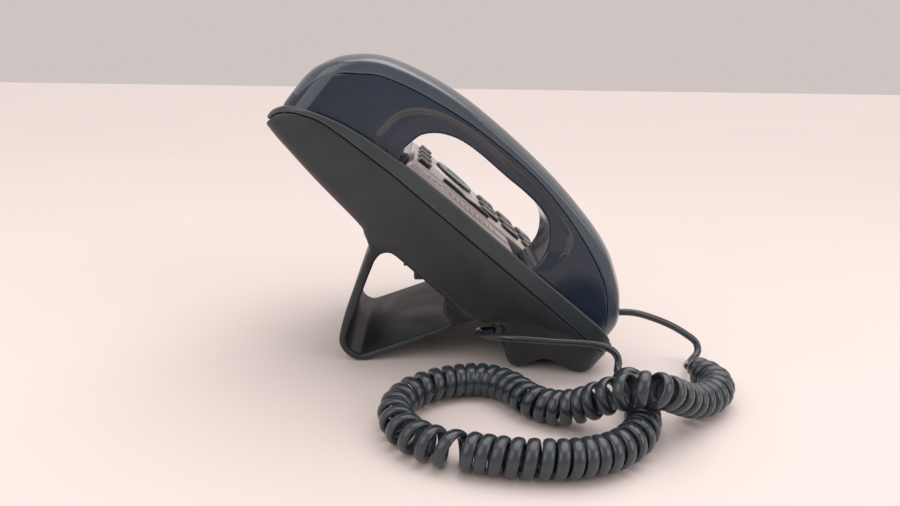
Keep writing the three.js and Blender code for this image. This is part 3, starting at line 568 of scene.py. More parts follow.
def fall(x):
    """How far the face has fallen away toward its far side."""
    past = np.maximum(0, x - FALL_FROM) / (HALF_WIDTH - FALL_FROM)
    return FALL_DEPTH * past * past


def handset_plan(block_x, v, inset):
    width, length = 2 * (HANDSET_HALF - inset), HANDSET_LENGTH - 2 * inset
    return rounded(block_x, v, HANDSET_X, HANDSET_V, width, length, HANDSET_CORNER - inset)


def face_block(low, high, step):
    return Block(low, high, step, FACE_TILT, FACE_RUN, FACE_HEIGHT)


# ---- cord
BASE_TAIL = [
    [-45, -25.2, 16.8], [-45.4, -20.6, 17], [-48, -16.8, 17.6], [-53, -15.6, 18.6], [-59, -17.4, 19.8],
    [-65, -21.4, 21.2], [-70.4, -26.6, 22.8], [-73.6, -33, 23.6], [-74.6, -41, 23.4],
    [-74.8, -54, 22.4], [-75, -66, 21.8], [-75.6, -76, 20.6], [-76.4, -82.6, 17.4],
    [-77.4, -84.8, 13], [-79.6, -83.8, 9.6], [-82.4, -82.6, 8.5],
]
COIL_ROUTE = [
    [-84.2, -82.9, 8.2], [-92, -86, 8.1], [-104.3, -88, 8.1], [-118.7, -84.2, 8.1],
    [-133.5, -79.6, 8.1], [-144.6, -72, 8.1], [-152.7, -61.4, 8.1], [-157.3, -47, 8.1],
    [-157.6, -33, 8.1], [-156, -20, 8.1], [-152.8, -8, 8.1], [-149.2, 3.9, 8.1], [-143, 14.6, 8.1],
    [-132, 22.8, 8.1], [-117.2, 25.4, 8.1], [-102.6, 19, 8.1], [-92.4, 6, 8.1], [-87.6, -8.8, 8.1],
    [-89.4, -19.6, 8.1], [-97, -28.4, 8.1], [-109.6, -36, 8.1], [-117, -47, 8.4], [-121, -57, 12],
    [-126.4, -65, 18.4], [-131.4, -72.4, 23.8], [-133.6, -80, 25.6], [-131.6, -88, 23.6],
    [-125.6, -97, 18], [-117, -107, 11.6], [-109, -117, 8.4], [-101.4, -125, 8.1], [-92, -129, 8.1],
    [-82.6, -127.2, 8.1], [-74.2, -123.4, 8.1],
]
HANDSET_TAIL = [
    [-72.4, -122.4, 7.6], [-66, -124.6, 5.6], [-58, -130, 4.6], [-51.4, -136, 6.2],
    [-47.8, -136.4, 10.4], [-47, -130.6, 15], [-46.9, -121.7, 20.2], [-46.8, -111.6, 24.4],
    [-46.8, -100.4, 27.6], [-46.8, -89, 28],
]
COIL_RADIUS = 8.0  # outside of the coil
WIRE_WIDTH, WIRE_THICK = 5.2, 3.0
TURN_PITCH = 6.5
POINTS_PER_TURN = 20
GAP_AT = 0.342  # share of the coil's length where one gap stays pulled open
CORD_DIAMETER = 3.8  # of the round ends
CORD_SIDES = 12
TAIL_STEP = 1.6
COIL_START = 0.9  # angle of the coil's first turn
LOWEST_WIRE = 0.15  # the underside's height where the cord lies on the desk


def along(line, step):
    """A line resampled at an even step, end to end."""
    lengths = np.concatenate([[0], np.cumsum(np.linalg.norm(np.diff(line, axis=0), axis=1))])
    places = np.linspace(0, lengths[-1], max(2, int(round(lengths[-1] / step)) + 1))
    return np.column_stack([np.interp(places, lengths, line[:, i]) for i in range(3)])


def carried_frames(line):
    """Tangents and side vectors that don't twist along a line."""
    tangents = np.gradient(line, axis=0)
    tangents /= np.linalg.norm(tangents, axis=1, keepdims=True)
    side = np.cross(tangents[0], [0, 0, 1.0])
    sides = []
    for tangent in tangents:
        side = side - tangent * side.dot(tangent)
        side /= np.linalg.norm(side)
        sides.append(side)
    return tangents, np.array(sides)


def coil_line():
    """The helix round the coil's route, opening from and closing to its middle line."""
    middle = along(spline(COIL_ROUTE, 1.0), TURN_PITCH / POINTS_PER_TURN)
    tangents, sides = carried_frames(middle)
    ups = np.cross(sides, tangents)
    count = len(middle)
    place = np.arange(count)
    # turns bunch up and spread a little, as a used cord's do, and one gap stays pulled open
    pulled = np.exp(-((place - GAP_AT * count) / (0.55 * POINTS_PER_TURN)) ** 2)
    spread = 1 + 0.16 * np.sin(place * 0.013 + 0.6) + 0.1 * np.sin(place * 0.041) + 1.3 * pulled
    angle = np.cumsum(2 * math.pi / POINTS_PER_TURN / spread) + COIL_START
    opening = np.clip(np.minimum(place, count - 1 - place) / (0.9 * POINTS_PER_TURN), 0, 1)
    opening = opening * opening * (3 - 2 * opening)
    radius = (COIL_RADIUS - WIRE_THICK / 2) * opening
    offset = sides * np.cos(angle)[:, None] + ups * np.sin(angle)[:, None]
    line = middle + offset * radius[:, None]
    return line, offset, opening


def cord_path():
    coil, outward, opening = coil_line()
    start = along(spline(BASE_TAIL, 1.0), TAIL_STEP)[:-1]
    end = along(spline(HANDSET_TAIL, 1.0), TAIL_STEP)[1:]
    path = chain(start, coil, end)
    first = np.tile([0, 0, 1.0], (len(start), 1))
    last = np.tile([0, 0, 1.0], (len(end), 1))
    flat = np.concatenate([np.zeros(len(start)), opening, np.zeros(len(end))])
    return path, chain(first, outward, last), flat


def make_cord():
    path, outward, flat = cord_path()
    smooth = path.copy()
    for _ in range(2):
        smooth[1:-1] = (smooth[:-2] + 2 * smooth[1:-1] + smooth[2:]) / 4
    path = np.where(flat[:, None] < 1, smooth, path)
    tangents, sides = carried_frames(path)
    ups = np.cross(sides, tangents)
    # the flat side of the wire faces out of the coil; the straight ends are round
    turn = np.unwrap(np.arctan2((outward * ups).sum(1), (outward * sides).sum(1)))
    rings = []
    for i, centre in enumerate(path):
        width = WIRE_WIDTH * flat[i] + CORD_DIAMETER * (1 - flat[i])
        thick = WIRE_THICK * flat[i] + CORD_DIAMETER * (1 - flat[i])
        out = sides[i] * math.cos(turn[i]) + ups[i] * math.sin(turn[i])
        across = np.cross(tangents[i], out)
        for j in range(CORD_SIDES):
            angle = 2 * math.pi * j / CORD_SIDES
            outward_by, across_by = thick / 2 * math.cos(angle), width / 2 * math.sin(angle)
            rings.append(centre + out * outward_by + across * across_by)
    faces = []
    for i in range(len(path) - 1):
        for j in range(CORD_SIDES):
            k = (j + 1) % CORD_SIDES
            a, b = i * CORD_SIDES, (i + 1) * CORD_SIDES
            faces.append((a + j, a + k, b + k, b + j))
    last = (len(path) - 1) * CORD_SIDES
    faces.append(tuple(range(CORD_SIDES))[::-1])
    faces.append(tuple(last + j for j in range(CORD_SIDES)))
    rings = np.array(rings)
    rings[:, 2] = np.maximum(rings[:, 2], LOWEST_WIRE)
    cord = make_mesh("curly_cord", rings * MM, faces)
    bm = bmesh.new()
    bm.from_mesh(cord.data)
    bmesh.ops.recalc_face_normals(bm, faces=bm.faces)
    bm.to_mesh(cord.data)
    bm.free()
    dress(cord, "cord")
    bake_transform(cord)
    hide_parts("cord_base_tail", "cord_coil", "cord_handset_tail")


make_cord()


# ---- rear housing
SHELL_CORNER, RIM_CORNER = 17, 18
JACK_ROOM = 0.6
WALL_SLOT_X, WALL_SLOT_V, WALL_SLOT_SIZE = 52.5, -1.5, (4.2, 9.5, 1.9)
SCREW_WELLS = ((34, 12, BACK_PLANE), (50, 4, UNDER_PLANE))  # across, up the plane, plane
WELL_RADIUS, WELL_TOP = 3.6, 1.7
PADS = ((45.5, 34), (162, 42))  # run, across
PAD_SIZE = (16.6, 8.6, 3.4)
CABLE_HOOK, HOOK_ACROSS = (73.4, 51, 4.8, 8.4, 0.7), (47, 50)


def make_rear_housing():
    block = Block([-73, -88, -2], [73, 92, 138], COARSE)
    x, run, z = block.x, block.run, block.z
    v, n = block.on_plane(FACE_TILT, FACE_RUN, FACE_HEIGHT)
    lower = inside(chain([[10, 152], [-4, 134]], BACK, UNDERSIDE, FOOT, [[182, 14], [192, 34]]), run, z)
    shell = both(lower, bowl(x, n), 5.0)
    shell = both(shell, plan(x, v, 0.4, SHELL_CORNER), 2.0)
    strap = inside(chain(STAND_OUTER, [[98, 40], [70, 66]]), run, z)
    half = np.interp(z, [36, 45, 54, 62, 70], [STAND_HALF, 49, 51.6, 56, FLARE_HALF]).astype(np.float32)
    stand = both(strap, np.abs(x) - half, 1.8)
    body = joined(shell, stand, 4.0)
    body = np.maximum(cut(body, inside(STAND_OPENING, run, z), 1.6), -z)
    hook = np.maximum(rounded(run, z, *CABLE_HOOK), slab(np.abs(x), *HOOK_ACROSS))
    body = joined(body, hook, 0.7)
    body = both(body, under(shifted(SEAM, -SEAM_GAP), run, z), 0.5)
    room = inside([[9, 130.6], [12, 121.5], [24, 107], [44, 84.6], [51, 75.2], [59, 66.9], [90, 40.8],
                   [100.5, 31.2], [120, 27.4], [122.4, 14], [126, 6], [150, 8.6], [165, 4.6],
                   [168, 22], [130, 80], [60, 140], [20, 142]], run, z)
    cavity = np.maximum(np.maximum(room, bowl(x, n, WALL)), plan(x, v, 3.2, 14))
    body = cut(body, cavity, 0.4)
    low, high = box_mm("base_jack")
    middle, size = (low + high) / 2, high - low + JACK_ROOM
    seat = rounded(x, z, middle[0], middle[2], size[0], size[2], 0.8)
    body = cut(body, np.maximum(seat, slab(block.y, -46, -24)), 0.4)
    for name in ("lan_jack", "pc_jack", "headset_jack", "power_jack"):
        low, high = box_mm(name)
        middle, size = (low + high) / 2, high - low + JACK_ROOM
        seat = rounded(x, block.y, middle[0], middle[1], size[0], size[1], 0.8)
        body = cut(body, np.maximum(seat, slab(z, low[2] - 9, high[2])), 0.5)
    back_v, back_n = block.on_plane(*BACK_PLANE)
    for side in (-1, 1):
        slot = rounded(x, back_v, side * WALL_SLOT_X, WALL_SLOT_V, *WALL_SLOT_SIZE)
        body = cut(body, np.maximum(slot, slab(back_n, -6, 9)), 0.5)
        for across, middle_v, plane in SCREW_WELLS:
            plane_v, plane_n = block.on_plane(*plane)
            well = np.hypot(x - side * across, plane_v - middle_v) - WELL_RADIUS
            body = cut(body, np.maximum(well, slab(plane_n, -6, WELL_TOP)), 0.5)
        for pad_run, across in PADS:
            pad = rounded(x, block.y, side * across, MIDDLE_RUN - pad_run, *PAD_SIZE)
            body = cut(body, np.maximum(pad, slab(z, -3, 2.2)), 0.4)
    housing = from_field("housing_moulding", block, body)
    dress(housing, "housing", "base")
    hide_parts("rear_housing")


def make_rim():
    block = face_block([-72, -122, -40], [72, 94, 6], MEDIUM)
    x, run, z = block.x, block.run, block.z
    side = inside(chain(CROWN, SEAM[::-1]), run, z)
    ring = both(side, plan(x, block.v, 0, RIM_CORNER), 0.9)
    ring = both(ring, under(CROWN, run, z) + fall(x), 0.6)
    ring = cut(ring, plan(x, block.v, 3, 15), 0.5)
    front = inside([[112, 72], [123, 50.8], [149.2, 25.8], [159.4, 19.4], [168.8, 17.2], [190, 17.2],
                    [190, 60], [150, 90]], run, z)
    notch = np.maximum(front, slab(x, HANDSET_X - HANDSET_HALF - 0.7, HANDSET_X + HANDSET_HALF + 0.5))
    ring = cut(ring, notch, 0.5)
    rim = from_field("rim_moulding", block, ring)
    dress(rim, "rim", "base")
    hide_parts("rim_band")


make_rear_housing()
make_rim()


# ---- face plate
GRILLE_X, GRILLE_V, GRILLE_PITCH, GRILLE_ROWS = HANDSET_X + 9, -17, 3.4, 5
GRILLE_RINGS, GRILLE_NARROW = (29, 25.4, 21.8), 0.32
SLOT_LENGTH, SLOT_WIDTH, SLOT_COLUMN = 2.9, 1.8, 3.7
# GROOVE_SHADE_REACH is how far from a groove's middle line the painted shade reaches
GROOVE_RADIUS, GROOVE_N, GROOVE_SHADE_REACH = 0.9, -1.3, 0.95
PLATE_THICK, CRADLE_STEP = 2.2, (1.4, 0.2)
EAR_POCKET = [[7, 134], [11.9, 130.9], [21.7, 126.1], [62.5, 103.1], [70.4, 112.6]]
MOUTH_POCKET = [[121.6, 66], [123.4, 51.6], [149.5, 26.2], [159.6, 19.8], [168.7, 17.4], [180, 17.4]]
NAV_X, NAV_V, NAV_RADIUS = 17.4, -5.5, 13.4
DISPLAY_TILT, DISPLAY_RUN, DISPLAY_HEIGHT = math.radians(33.4), 54.5, 118.7
DISPLAY_X, DISPLAY_W, DISPLAY_H = 14, 74, 34
LAMP_PLANE, LAMP_SIZE = (math.radians(18), 27, 133.4), (30.6, 4.6, 2.2)
PLUNGER_V, PLUNGER_HOLE = 52, (7.2, 6.8, 1.7)
DIAL_X = [0, 17.4, 34.8]
DIAL_V = [-33.4, -49.6, -65.8, -82]
SOFT_X, SOFT_V = [-17, 2.4, 21.8, 41.2], 17
FUNCTION_V = -97
VOLUME_X, VOLUME_V = -20.4, -13.6
KEY_FIT = 0.35


def bar_key(width, height, radius):
    """The outline of keys that are rounded rectangles."""
    return lambda x, v, kx, kv, grow=0.0: rounded(
        x, v, kx, kv, width + 2 * grow, height + 2 * grow, radius)


def soft_key(x, v, kx, kv, grow=0.0):
    """Flat toward the display, half round toward the user."""
    oval = (np.hypot((x - kx) / 1.65, v - kv + 1) - 4) * 1.15 - grow
    tab = np.maximum(np.abs(x - kx) - 6.6 - grow, slab(v, kv - 1, kv + 3 + grow))
    return np.minimum(np.maximum(oval, v - kv + 0.9), tab)


def nav_key(x, v, kx, kv, grow=0.0):
    return np.hypot(x - kx, v - kv) - NAV_RADIUS - grow


dial_key, function_key = bar_key(13.4, 12.2, 3.6), bar_key(13.4, 6.6, 2.6)
volume_key = bar_key(5, 33, 2.2)
DIAL_NAMES = ["1", "2", "3", "4", "5", "6", "7", "8", "9", "star", "0", "hash"]
KEYS = [(f"key_{name}", dial_key, DIAL_X[i % 3], DIAL_V[i // 3]) for i, name in enumerate(DIAL_NAMES)]
KEYS += [(f"soft_key_{i + 1}", soft_key, kx, SOFT_V) for i, kx in enumerate(SOFT_X)]
KEYS += [(name, function_key, kx, FUNCTION_V)
         for name, kx in zip(("mute_key", "speaker_key", "hold_key"), DIAL_X)]
KEYS += [("nav_key", nav_key, NAV_X, NAV_V), ("volume_bar", volume_key, VOLUME_X, VOLUME_V)]


def make_face_plate():
    block = face_block([-69, -121, -30], [69, 92, 3.5], MEDIUM)
    x, v, n, run, z = block.x, block.v, block.n, block.run, block.z
    drop = np.interp(x, [-26.6, -25.4], CRADLE_STEP).astype(np.float32) + fall(x)
    top = under(CROWN, run, z) + drop
    plate = np.maximum(top, -(top + PLATE_THICK))
    pod_x = (HANDSET_X - HANDSET_HALF - 0.6, HANDSET_X + HANDSET_HALF + 0.5)
    ear = inside(chain(shifted(np.array(EAR_POCKET), -2),
                       [[64, 109.6], [54, 116.6], [44, 123], [30, 130.6], [16, 133.6]]), run, z)
    mouth = inside(chain([[119.6, 64]], shifted(np.array(MOUTH_POCKET), -2)[1:5],
                         [[170, 22], [160, 32]]), run, z)
    for cup in (ear, mouth):
        plate = joined(plate, np.maximum(cup, slab(x, pod_x[0], pod_x[1] + 2)), 0.6)
    ring = both(np.hypot(x - NAV_X, v - NAV_V) - NAV_RADIUS - 2.2, slab(n, -1, 0.7), 0.4)
    plate = joined(plate, ring, 0.5)
    for pocket, lid in ((EAR_POCKET, [[76, 140], [8, 150]]), (MOUTH_POCKET, [[190, 60], [150, 100]])):
        hollow = np.maximum(inside(chain(pocket, lid), run, z), slab(x, pod_x[0] - 1, pod_x[1]))
        plate = cut(plate, hollow, 0.7)
    # loudspeaker grille: rows of short slots in an oval, with nested oval grooves round them
    for i in range(-GRILLE_ROWS, GRILLE_ROWS + 1):
        reach = math.sqrt(1 - (i * GRILLE_PITCH / (GRILLE_RINGS[-1] - 1.5)) ** 2)
        for column in (-1, 0, 1):
            slot_x, slot_v = GRILLE_X + column * SLOT_COLUMN * reach, GRILLE_V + i * GRILLE_PITCH
            slot = rounded(x, v, slot_x, slot_v, SLOT_LENGTH * reach, SLOT_WIDTH, 0.7)
            plate = cut(plate, np.maximum(slot, slab(n, -5, 3)), 0.3)
    oval = np.hypot((x - GRILLE_X) / GRILLE_NARROW, v - GRILLE_V)
    for long_half in GRILLE_RINGS:
        groove = np.hypot((oval - long_half) * 0.8, n - GROOVE_N) - GROOVE_RADIUS
        plate = cut(plate, groove, 0.2)
    for _, outline, kx, kv in KEYS:
        hole = np.maximum(outline(x, v, kx, kv, KEY_FIT), slab(n, -6, 4))
        plate = cut(plate, hole, 0.35)
    window_v, window_n = block.on_plane(DISPLAY_TILT, DISPLAY_RUN, DISPLAY_HEIGHT)
    window = rounded(x, window_v, DISPLAY_X, 0, DISPLAY_W, DISPLAY_H, 2.5)
    plate = cut(plate, np.maximum(window, slab(window_n, -6, 6)), 0.6)
    lamp_v, lamp_n = block.on_plane(*LAMP_PLANE)
    lamp = rounded(x, lamp_v, DISPLAY_X, 0, *LAMP_SIZE)
    plate = cut(plate, np.maximum(lamp, slab(lamp_n, -5, 4)), 0.4)
    hook_low, hook_high = box_mm("hook_plunger")
    hook = rounded(x, v, (hook_low[0] + hook_high[0]) / 2, PLUNGER_V, *PLUNGER_HOLE)
    plate = cut(plate, np.maximum(hook, slab(n, -26, 0)), 0.4)
    plate = both(plate, plan(x, v, 3.3, 14.6), 0.5)
    plate = np.maximum(plate, bowl(x, n, WALL + 0.3))
    room = inside([[-2, 133.5], [12.2, 133.5], [10.5, 131.2], [12.8, 123.4], [24.8, 108.6], [45.2, 85.6],
                   [60, 68.4], [91, 42.4], [121, 29], [150, 10.6], [164, 7], [167, 20.5], [171.6, 16.5],
                   [178, 16], [178, 150], [-2, 150]], run, z)
    plate = np.maximum(plate, room)

    def groove_shade(px, py, pz):
        """1 in the grille's oval grooves, where painted shade is laid, falling through a half at their edges."""
        along_run = MIDDLE_RUN - py - FACE_RUN
        pv = (pz - FACE_HEIGHT) * math.sin(FACE_TILT) - along_run * math.cos(FACE_TILT)
        from_middle = np.hypot((px - GRILLE_X) / GRILLE_NARROW, pv - GRILLE_V)
        off = np.minimum.reduce([np.abs(from_middle - long_half) for long_half in GRILLE_RINGS])
        return np.clip(0.5 + (GROOVE_SHADE_REACH - off) / 2, 0, 1)

    # the grille's grooves get painted shade
    panel = from_field("face_moulding", block, plate, {"painted_light": groove_shade})
    dress(panel, "panel", "base")
    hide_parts("face_plate")


make_face_plate()


# ---- handset
COVER_WALL = 2.2
TAIL_HOLE, PLUG_RECESS = (28, 10.2, 7.4, 0.6), (28, 13.6, 10, 0.8)
# how far in from the handset's sides the painted highlight on the bevel is laid
BAND_ON_SIDE = 2.6
# tilt, run, height, ring radius and number of the receiver's and the microphone's holes
EAR_HOLES = (math.atan2(22.6, 40), 40, 116.8, 6.5, 6)
MOUTH_HOLES = (math.atan2(25.5, 25.4), 138, 39.5, 3, 3)


def make_handset():
    block = face_block([-69, -116, -24], [-25, 92, 46], MEDIUM)
    x, run, z = block.x, block.run, block.z
    back = under(HANDSET_BACK, run, z)
    across = (x - HANDSET_X) / HANDSET_HALF
    crown = COVER_CROWN * np.abs(across) ** 2.6
    sides = np.abs(x - HANDSET_X) - HANDSET_HALF
    outer = both(both(back + crown, sides, 1.6), handset_plan(x, block.v, 0), 1.6)
    seam = shifted(HANDSET_BACK, -COVER_DEPTH)
    upper = seam[(seam[:, 0] > 52) & (seam[:, 0] < 82)]
    lower = seam[(seam[:, 0] > 150) & (seam[:, 1] < 53)]
    seam = chain([[-20, 170]], COVER_TIP, upper, SEAM_MIDDLE, lower)
    zone = inside(chain(seam, [[210, 0], [210, 200], [-20, 200]]), run, z)
    cover = both(outer, zone, 0.55)
    hollow = np.maximum(back + crown, sides) + COVER_WALL
    cover = np.maximum(cover, -np.maximum(hollow, handset_plan(x, block.v, COVER_WALL)))
    tunnel = np.maximum(rounded(x, z, HANDSET_X, *TAIL_HOLE), slab(block.y, -105, -66))
    cover = cut(cover, tunnel, 0.4)
    piece = from_field("cover_moulding", block, cover)
    dress(piece, "cover", "handset")
    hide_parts("handset_cover")

    body = inside(chain(HANDSET_BACK, MOUTH_POD[::-1], ARCH[::-1], EAR_POD[::-1]), run, z)
    arch = inside(chain(ARCH, [[128, 48], [66, 98]]), run, z)
    grip = inside(chain(BAND_LINE, [[138, 50], [120, 40], [44, 96], [50, 118]]), run, z)
    sink = GRIP_DEPTH * np.clip(-grip / BAND_WIDTH, 0, 1) + 1.4 * np.clip(1 - arch / 8, 0, 1)
    sink = sink * np.clip((run - 49) / 9, 0, 1) * np.clip((z - 54) / 12, 0, 1)
    shell = both(body, sides + 0.1 + sink, 1.2)
    shell = both(shell, outer + 0.05, 0.3)
    lip = np.interp(sides, [-1.7, -1.2], [-0.8, SEAM_GAP]).astype(np.float32)
    shell = both(shell, lip - zone, 0.55)
    shell = np.maximum(shell, bowl(x, block.n, WALL + 0.9))
    room = chain([[16, 132.8], [61, 107.4]], shifted(ARCH, 2.2),
                 [[127.4, 55.2], [151.4, 30.6], [161.2, 24], [168, 22]],
                 shifted(HANDSET_BACK, -5)[10:-8][::-1])
    cavity = np.maximum(np.maximum(inside(room, run, z), sides + 4.4), handset_plan(x, block.v, 2.6))
    cavity = np.maximum(cavity, bowl(x, block.n, WALL + 3.2))
    shell = np.maximum(shell, -cavity)
    shell = cut(shell, tunnel, 0.4)
    recess = np.maximum(rounded(x, z, HANDSET_X, *PLUG_RECESS), slab(block.y, -80, -70))
    shell = cut(shell, recess, 0.3)
    for tilt, at_run, at_height, radius, count in (EAR_HOLES, MOUTH_HOLES):
        hole_v, hole_n = block.on_plane(tilt, at_run, at_height)
        for i in range(count):
            angle = 2 * math.pi * i / count
            hole_x = HANDSET_X + radius * math.cos(angle)
            hole = np.hypot(x - hole_x, hole_v - radius * math.sin(angle)) - 1
            shell = cut(shell, np.maximum(hole, slab(hole_n, -2, 5)), 0.3)

    band_middle = shifted(BAND_LINE, -BAND_WIDTH / 2)

    def painted_light(px, py, pz):
        """1 on the bevel above the finger arch, where a painted highlight is laid, falling through a half at its
        edge.
        """
        from_middle = from_line(band_middle, MIDDLE_RUN - py, pz)[0]
        on_side = np.abs(px - HANDSET_X) > HANDSET_HALF - BAND_ON_SIDE
        return np.clip(0.5 + (BAND_WIDTH / 2 - from_middle) / 2, 0, 1) * on_side

    # the bevel above the finger arch gets a painted highlight
    piece = from_field("handset_moulding", block, shell, {"painted_light": painted_light})
    dress(piece, "gloss", "handset")
    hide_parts("handset_shell")


make_handset()


# ---- keys
def key_top(outline, x, v, kx, kv):
    """Height of a key's top above the face: dished dial keys, a ringed disc, domed others."""
    if outline is dial_key:
        return 1.5 - 0.35 * np.exp(-((x - kx) ** 2 + (v - kv) ** 2) / 20)
    if outline is nav_key:
        from_middle = np.hypot(x - kx, v - kv)
        return 2.6 - 0.7 * np.exp(-((from_middle - 6.2) / 0.7) ** 2) - 0.5 * np.exp(-(from_middle / 4) ** 2)
    if outline is soft_key:
        return 2.0 - 0.01 * (x - kx) ** 2
    if outline is volume_key:
        return 1.6 - 0.5 * np.exp(-((v - kv) / 3.5) ** 2)
    return 1.2 - 0.01 * (x - kx) ** 2


# how far each kind of key reaches from its middle, and how deep below the face it goes
KEY_REACH = {volume_key: (17, 20), nav_key: (17, 17)}
SMALL_REACH = (9.5, 9.5)
KEY_DEPTH = {volume_key: 2.6, soft_key: 4.5}
OTHER_DEPTH = 3.8
FLANGE_OUT, FLANGE_THICK = 0.8, 1


def make_key(name, outline, kx, kv):
    reach_x, reach_v = KEY_REACH.get(outline, SMALL_REACH)
    step = FINE if outline in KEY_REACH else FINEST
    block = face_block([kx - reach_x, kv - reach_v, -6], [kx + reach_x, kv + reach_v, 4], step)
    x, v, n = block.x, block.v, block.n
    bottom = -KEY_DEPTH.get(outline, OTHER_DEPTH)
    top = n - key_top(outline, x, v, kx, kv)
    cap = both(outline(x, v, kx, kv), top, 0.7)
    cap = np.maximum(cap, bottom - n)
    if outline is not volume_key:
        flange = outline(x, v, kx, kv, KEY_FIT + FLANGE_OUT)
        flange = np.maximum(flange, slab(n, bottom, bottom + FLANGE_THICK))
        cap = joined(cap, flange, 0.2)
    key = from_field(f"{name}_cap", block, cap)
    body = "volume_body" if outline is volume_key else f"{name}_body"
    dress(key, "nav" if outline is nav_key else "key", body)
    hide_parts(name)
    return body


def plane_matrix(tilt, run, height, place=(0, 0, 0)):
    """A place on a tilted plane, in metres, with its axes across, uphill and outward."""
    c, s = math.cos(tilt), math.sin(tilt)
    x, v, n = place
    y, z = MIDDLE_RUN - run + v * c - n * s, height + v * s + n * c
    turned = Matrix(((1, 0, 0), (0, c, -s), (0, s, c))).to_4x4()
    return Matrix.Translation(Vector((x, y, z)) * MM) @ turned


LEGEND_SIZE, LEGEND_THICK, LEGEND_LIFT = 6.5, 0.04, 0.05


def make_legend(name, text, matrix, body):
    """Printed figures, as thin raised ink."""
    curve = bpy.data.curves.new(name, "FONT")
    curve.body = text
    curve.size = LEGEND_SIZE * MM
    curve.extrude = LEGEND_THICK * MM
    curve.align_x = "CENTER"
    curve.align_y = "CENTER"
    writing = add(f"{name}_curve", curve)
    bpy.context.view_layer.update()
    mesh = bpy.data.meshes.new_from_object(writing)
    bpy.data.objects.remove(writing)
    mesh.transform(matrix)
    dress(add(name, mesh), "legend", body)


LEGENDS = dict(zip([f"key_{name}" for name in DIAL_NAMES], "123456789*0#"))
for key_name, key_outline, key_x, key_v in KEYS:
    key_body = make_key(key_name, key_outline, key_x, key_v)
    if key_name in LEGENDS:
        height = float(key_top(key_outline, key_x, key_v, key_x, key_v)) + LEGEND_LIFT
        spot = plane_matrix(FACE_TILT, FACE_RUN, FACE_HEIGHT, (key_x, key_v, height))
        make_legend(f"legend_{key_name}", LEGENDS[key_name], spot, key_body)


# ---- display and its marks
def box_faces(bm, matrix, low, high):
    """A small closed box added to a mesh, given in millimetres in a local frame."""
    corners = [matrix @ (Vector((a, b, c)) * MM)
               for a in (low[0], high[0]) for b in (low[1], high[1]) for c in (low[2], high[2])]
    verts = [bm.verts.new(corner) for corner in corners]
    for face in ((0, 1, 3, 2), (4, 6, 7, 5), (0, 4, 5, 1), (2, 3, 7, 6), (0, 2, 6, 4), (1, 5, 7, 3)):
        bm.faces.new([verts[i] for i in face])


def boxes_piece(name, matrix, boxes, look, body, bevel=0.0):
    bm = bmesh.new()
    for low, high in boxes:
        box_faces(bm, matrix, low, high)
    if bevel:
        bmesh.ops.bevel(bm, geom=list(bm.edges), offset=bevel * MM, segments=2, affect="EDGES")
    bmesh.ops.recalc_face_normals(bm, faces=bm.faces)
    mesh = bpy.data.meshes.new(name)
    bm.to_mesh(mesh)
    bm.free()
    dress(add(name, mesh), look, body)


SCREEN_MARGIN, SCREEN_N = 1.2, (-4.0, -3.2)
MARK_LOW, MARK_HIGH = -3.18, -3.12
TEXT_LINES = (34, 26, 40, 18)


def make_display():
    matrix = plane_matrix(DISPLAY_TILT, DISPLAY_RUN, DISPLAY_HEIGHT)
    half_w, half_h = DISPLAY_W / 2 - SCREEN_MARGIN, DISPLAY_H / 2 - SCREEN_MARGIN
    glass = ([DISPLAY_X - half_w, -half_h, SCREEN_N[0]], [DISPLAY_X + half_w, half_h, SCREEN_N[1]])
    boxes_piece("display_screen", matrix, [glass], "screen", "base", 0.1)
    marks = []  # left, bottom, right and top: key labels, lines of text and a picture
    for i in range(4):
        middle = DISPLAY_X - 27 + 18 * i
        marks.append((middle - 7, -13.8, middle + 7, -10.4))
    left = DISPLAY_X - 33
    for row, width in enumerate(TEXT_LINES):
        top = 12.5 - row * 5.4
        marks.append((left, top - 1.6, left + width, top))
    marks.append((DISPLAY_X + 20, 4, DISPLAY_X + 33, 13))
    bars = [([a, b, MARK_LOW], [c, d, MARK_HIGH]) for a, b, c, d in marks]
    boxes_piece("display_marks", matrix, bars, "ink", "base")


CONTACT_PITCH, CONTACT_HALF = 1.02, 0.2


def make_socket_contacts():
    """Gold wires inside the sockets under the shell."""
    wires = []
    for name, count in (("lan_jack", 8), ("pc_jack", 8), ("headset_jack", 4)):
        low, high = box_mm(name)
        middle = (low + high) / 2
        for i in range(count):
            wire_x = middle[0] + (i - (count - 1) / 2) * CONTACT_PITCH
            wires.append(([wire_x - CONTACT_HALF, middle[1] - 3.2, low[2] + 1.5],
                          [wire_x + CONTACT_HALF, middle[1] - 2.5, high[2] - 3.2]))
    boxes_piece("socket_contacts", Matrix.Identity(4), wires, "contact", "base")


make_display()
make_socket_contacts()


# ---- carried-over CAD nodes
WIDE_BEVELS = {"display_lens": 0.4, "message_lamp": 0.6, "hook_plunger": 0.6}
SEEN_BEVEL, HIDDEN_BEVEL, BEVEL_ANGLE = 0.3, 0.15, 50
SEEN_NODES = ("screw", "foot", "base_plug", "handset_plug", "lan_", "pc_", "headset_", "power_")


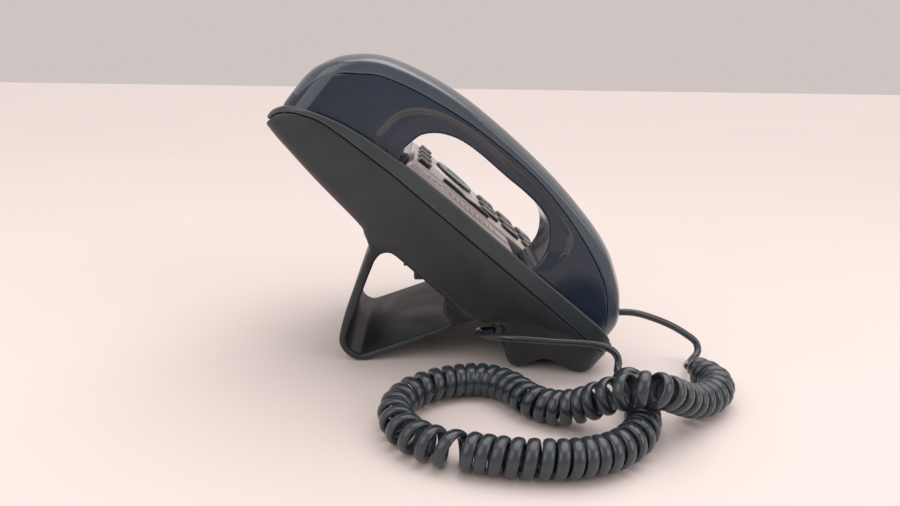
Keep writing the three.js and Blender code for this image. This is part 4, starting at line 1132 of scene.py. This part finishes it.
def dress_frame_nodes():
    """Every CAD node that still shows gets its material, and small bevels where it is seen."""
    slots = {part["node"]: part["material_slot"] for part in frame["record"]["subparts"]}
    for name, node in frame["nodes"].items():
        node.data.materials.clear()
        node.data.materials.append(LOOKS[slots[name]])
        width = WIDE_BEVELS.get(name, SEEN_BEVEL if name.startswith(SEEN_NODES) else HIDDEN_BEVEL)
        bevel = node.modifiers.new("edge_bevel", "BEVEL")
        bevel.width = width * MM
        bevel.segments = 2
        bevel.limit_method = "ANGLE"
        bevel.angle_limit = math.radians(BEVEL_ANGLE)


dress_frame_nodes()


# ---- floor and lights
FLOOR_HALF, FLOOR_HEIGHT = 6, -0.0004
FLOOR_DARK, FLOOR_LIGHT = (0.70, 0.632, 0.61), (0.74, 0.672, 0.65)
WORLD_COLOUR, WORLD_STRENGTH = (1.0, 0.90, 0.87, 1), 0.62
# kind, place, aim, size (an angle for the sun), strength and colour
LIGHTS = {
    "overhead": ("SUN", (0.3, -0.2, 1.0), (0, 0, 0), 1.1, 1.92, (1, 0.95, 0.93)),
    "left_key": ("AREA", (-0.6, 0.8, 0.8), (0, 0, 0.05), 1.1, 4.2, (1, 0.96, 0.93)),
    "right_fill": ("AREA", (-0.5, -0.8, 0.5), (0, 0, 0.05), 0.7, 2.2, (1, 0.95, 0.94)),
}


def make_stage():
    corners = [(-1, -1), (1, -1), (1, 1), (-1, 1)]
    floor = make_mesh("floor", [(a * FLOOR_HALF, b * FLOOR_HALF, FLOOR_HEIGHT) for a, b in corners],
                      [(0, 1, 2, 3)])
    m = Nodes("pale_floor")
    m.shade("Base Color", m.mix(m.noise(3, 2), FLOOR_DARK, FLOOR_LIGHT))
    m.shade("Roughness", m.ramp(m.noise(40, 4), [(0.3, 0.55), (0.7, 0.65)]))
    floor.data.materials.append(m.material)
    world = bpy.data.worlds.new("studio")
    bpy.context.scene.world = world
    world.use_nodes = True
    background = world.node_tree.nodes["Background"]
    background.inputs["Color"].default_value = WORLD_COLOUR
    background.inputs["Strength"].default_value = WORLD_STRENGTH
    for name, (kind, place, aim, size, power, colour) in LIGHTS.items():
        data = bpy.data.lights.new(name, kind)
        if kind == "SUN":
            data.angle = size
        else:
            data.shape = "DISK"
            data.size = size
        data.energy = power
        data.color = colour
        lamp = add(name, data)
        lamp.location = place
        lamp.rotation_euler = (Vector(aim) - Vector(place)).to_track_quat("-Z", "Y").to_euler()
    bpy.context.scene.view_settings.view_transform = "Standard"


make_stage()
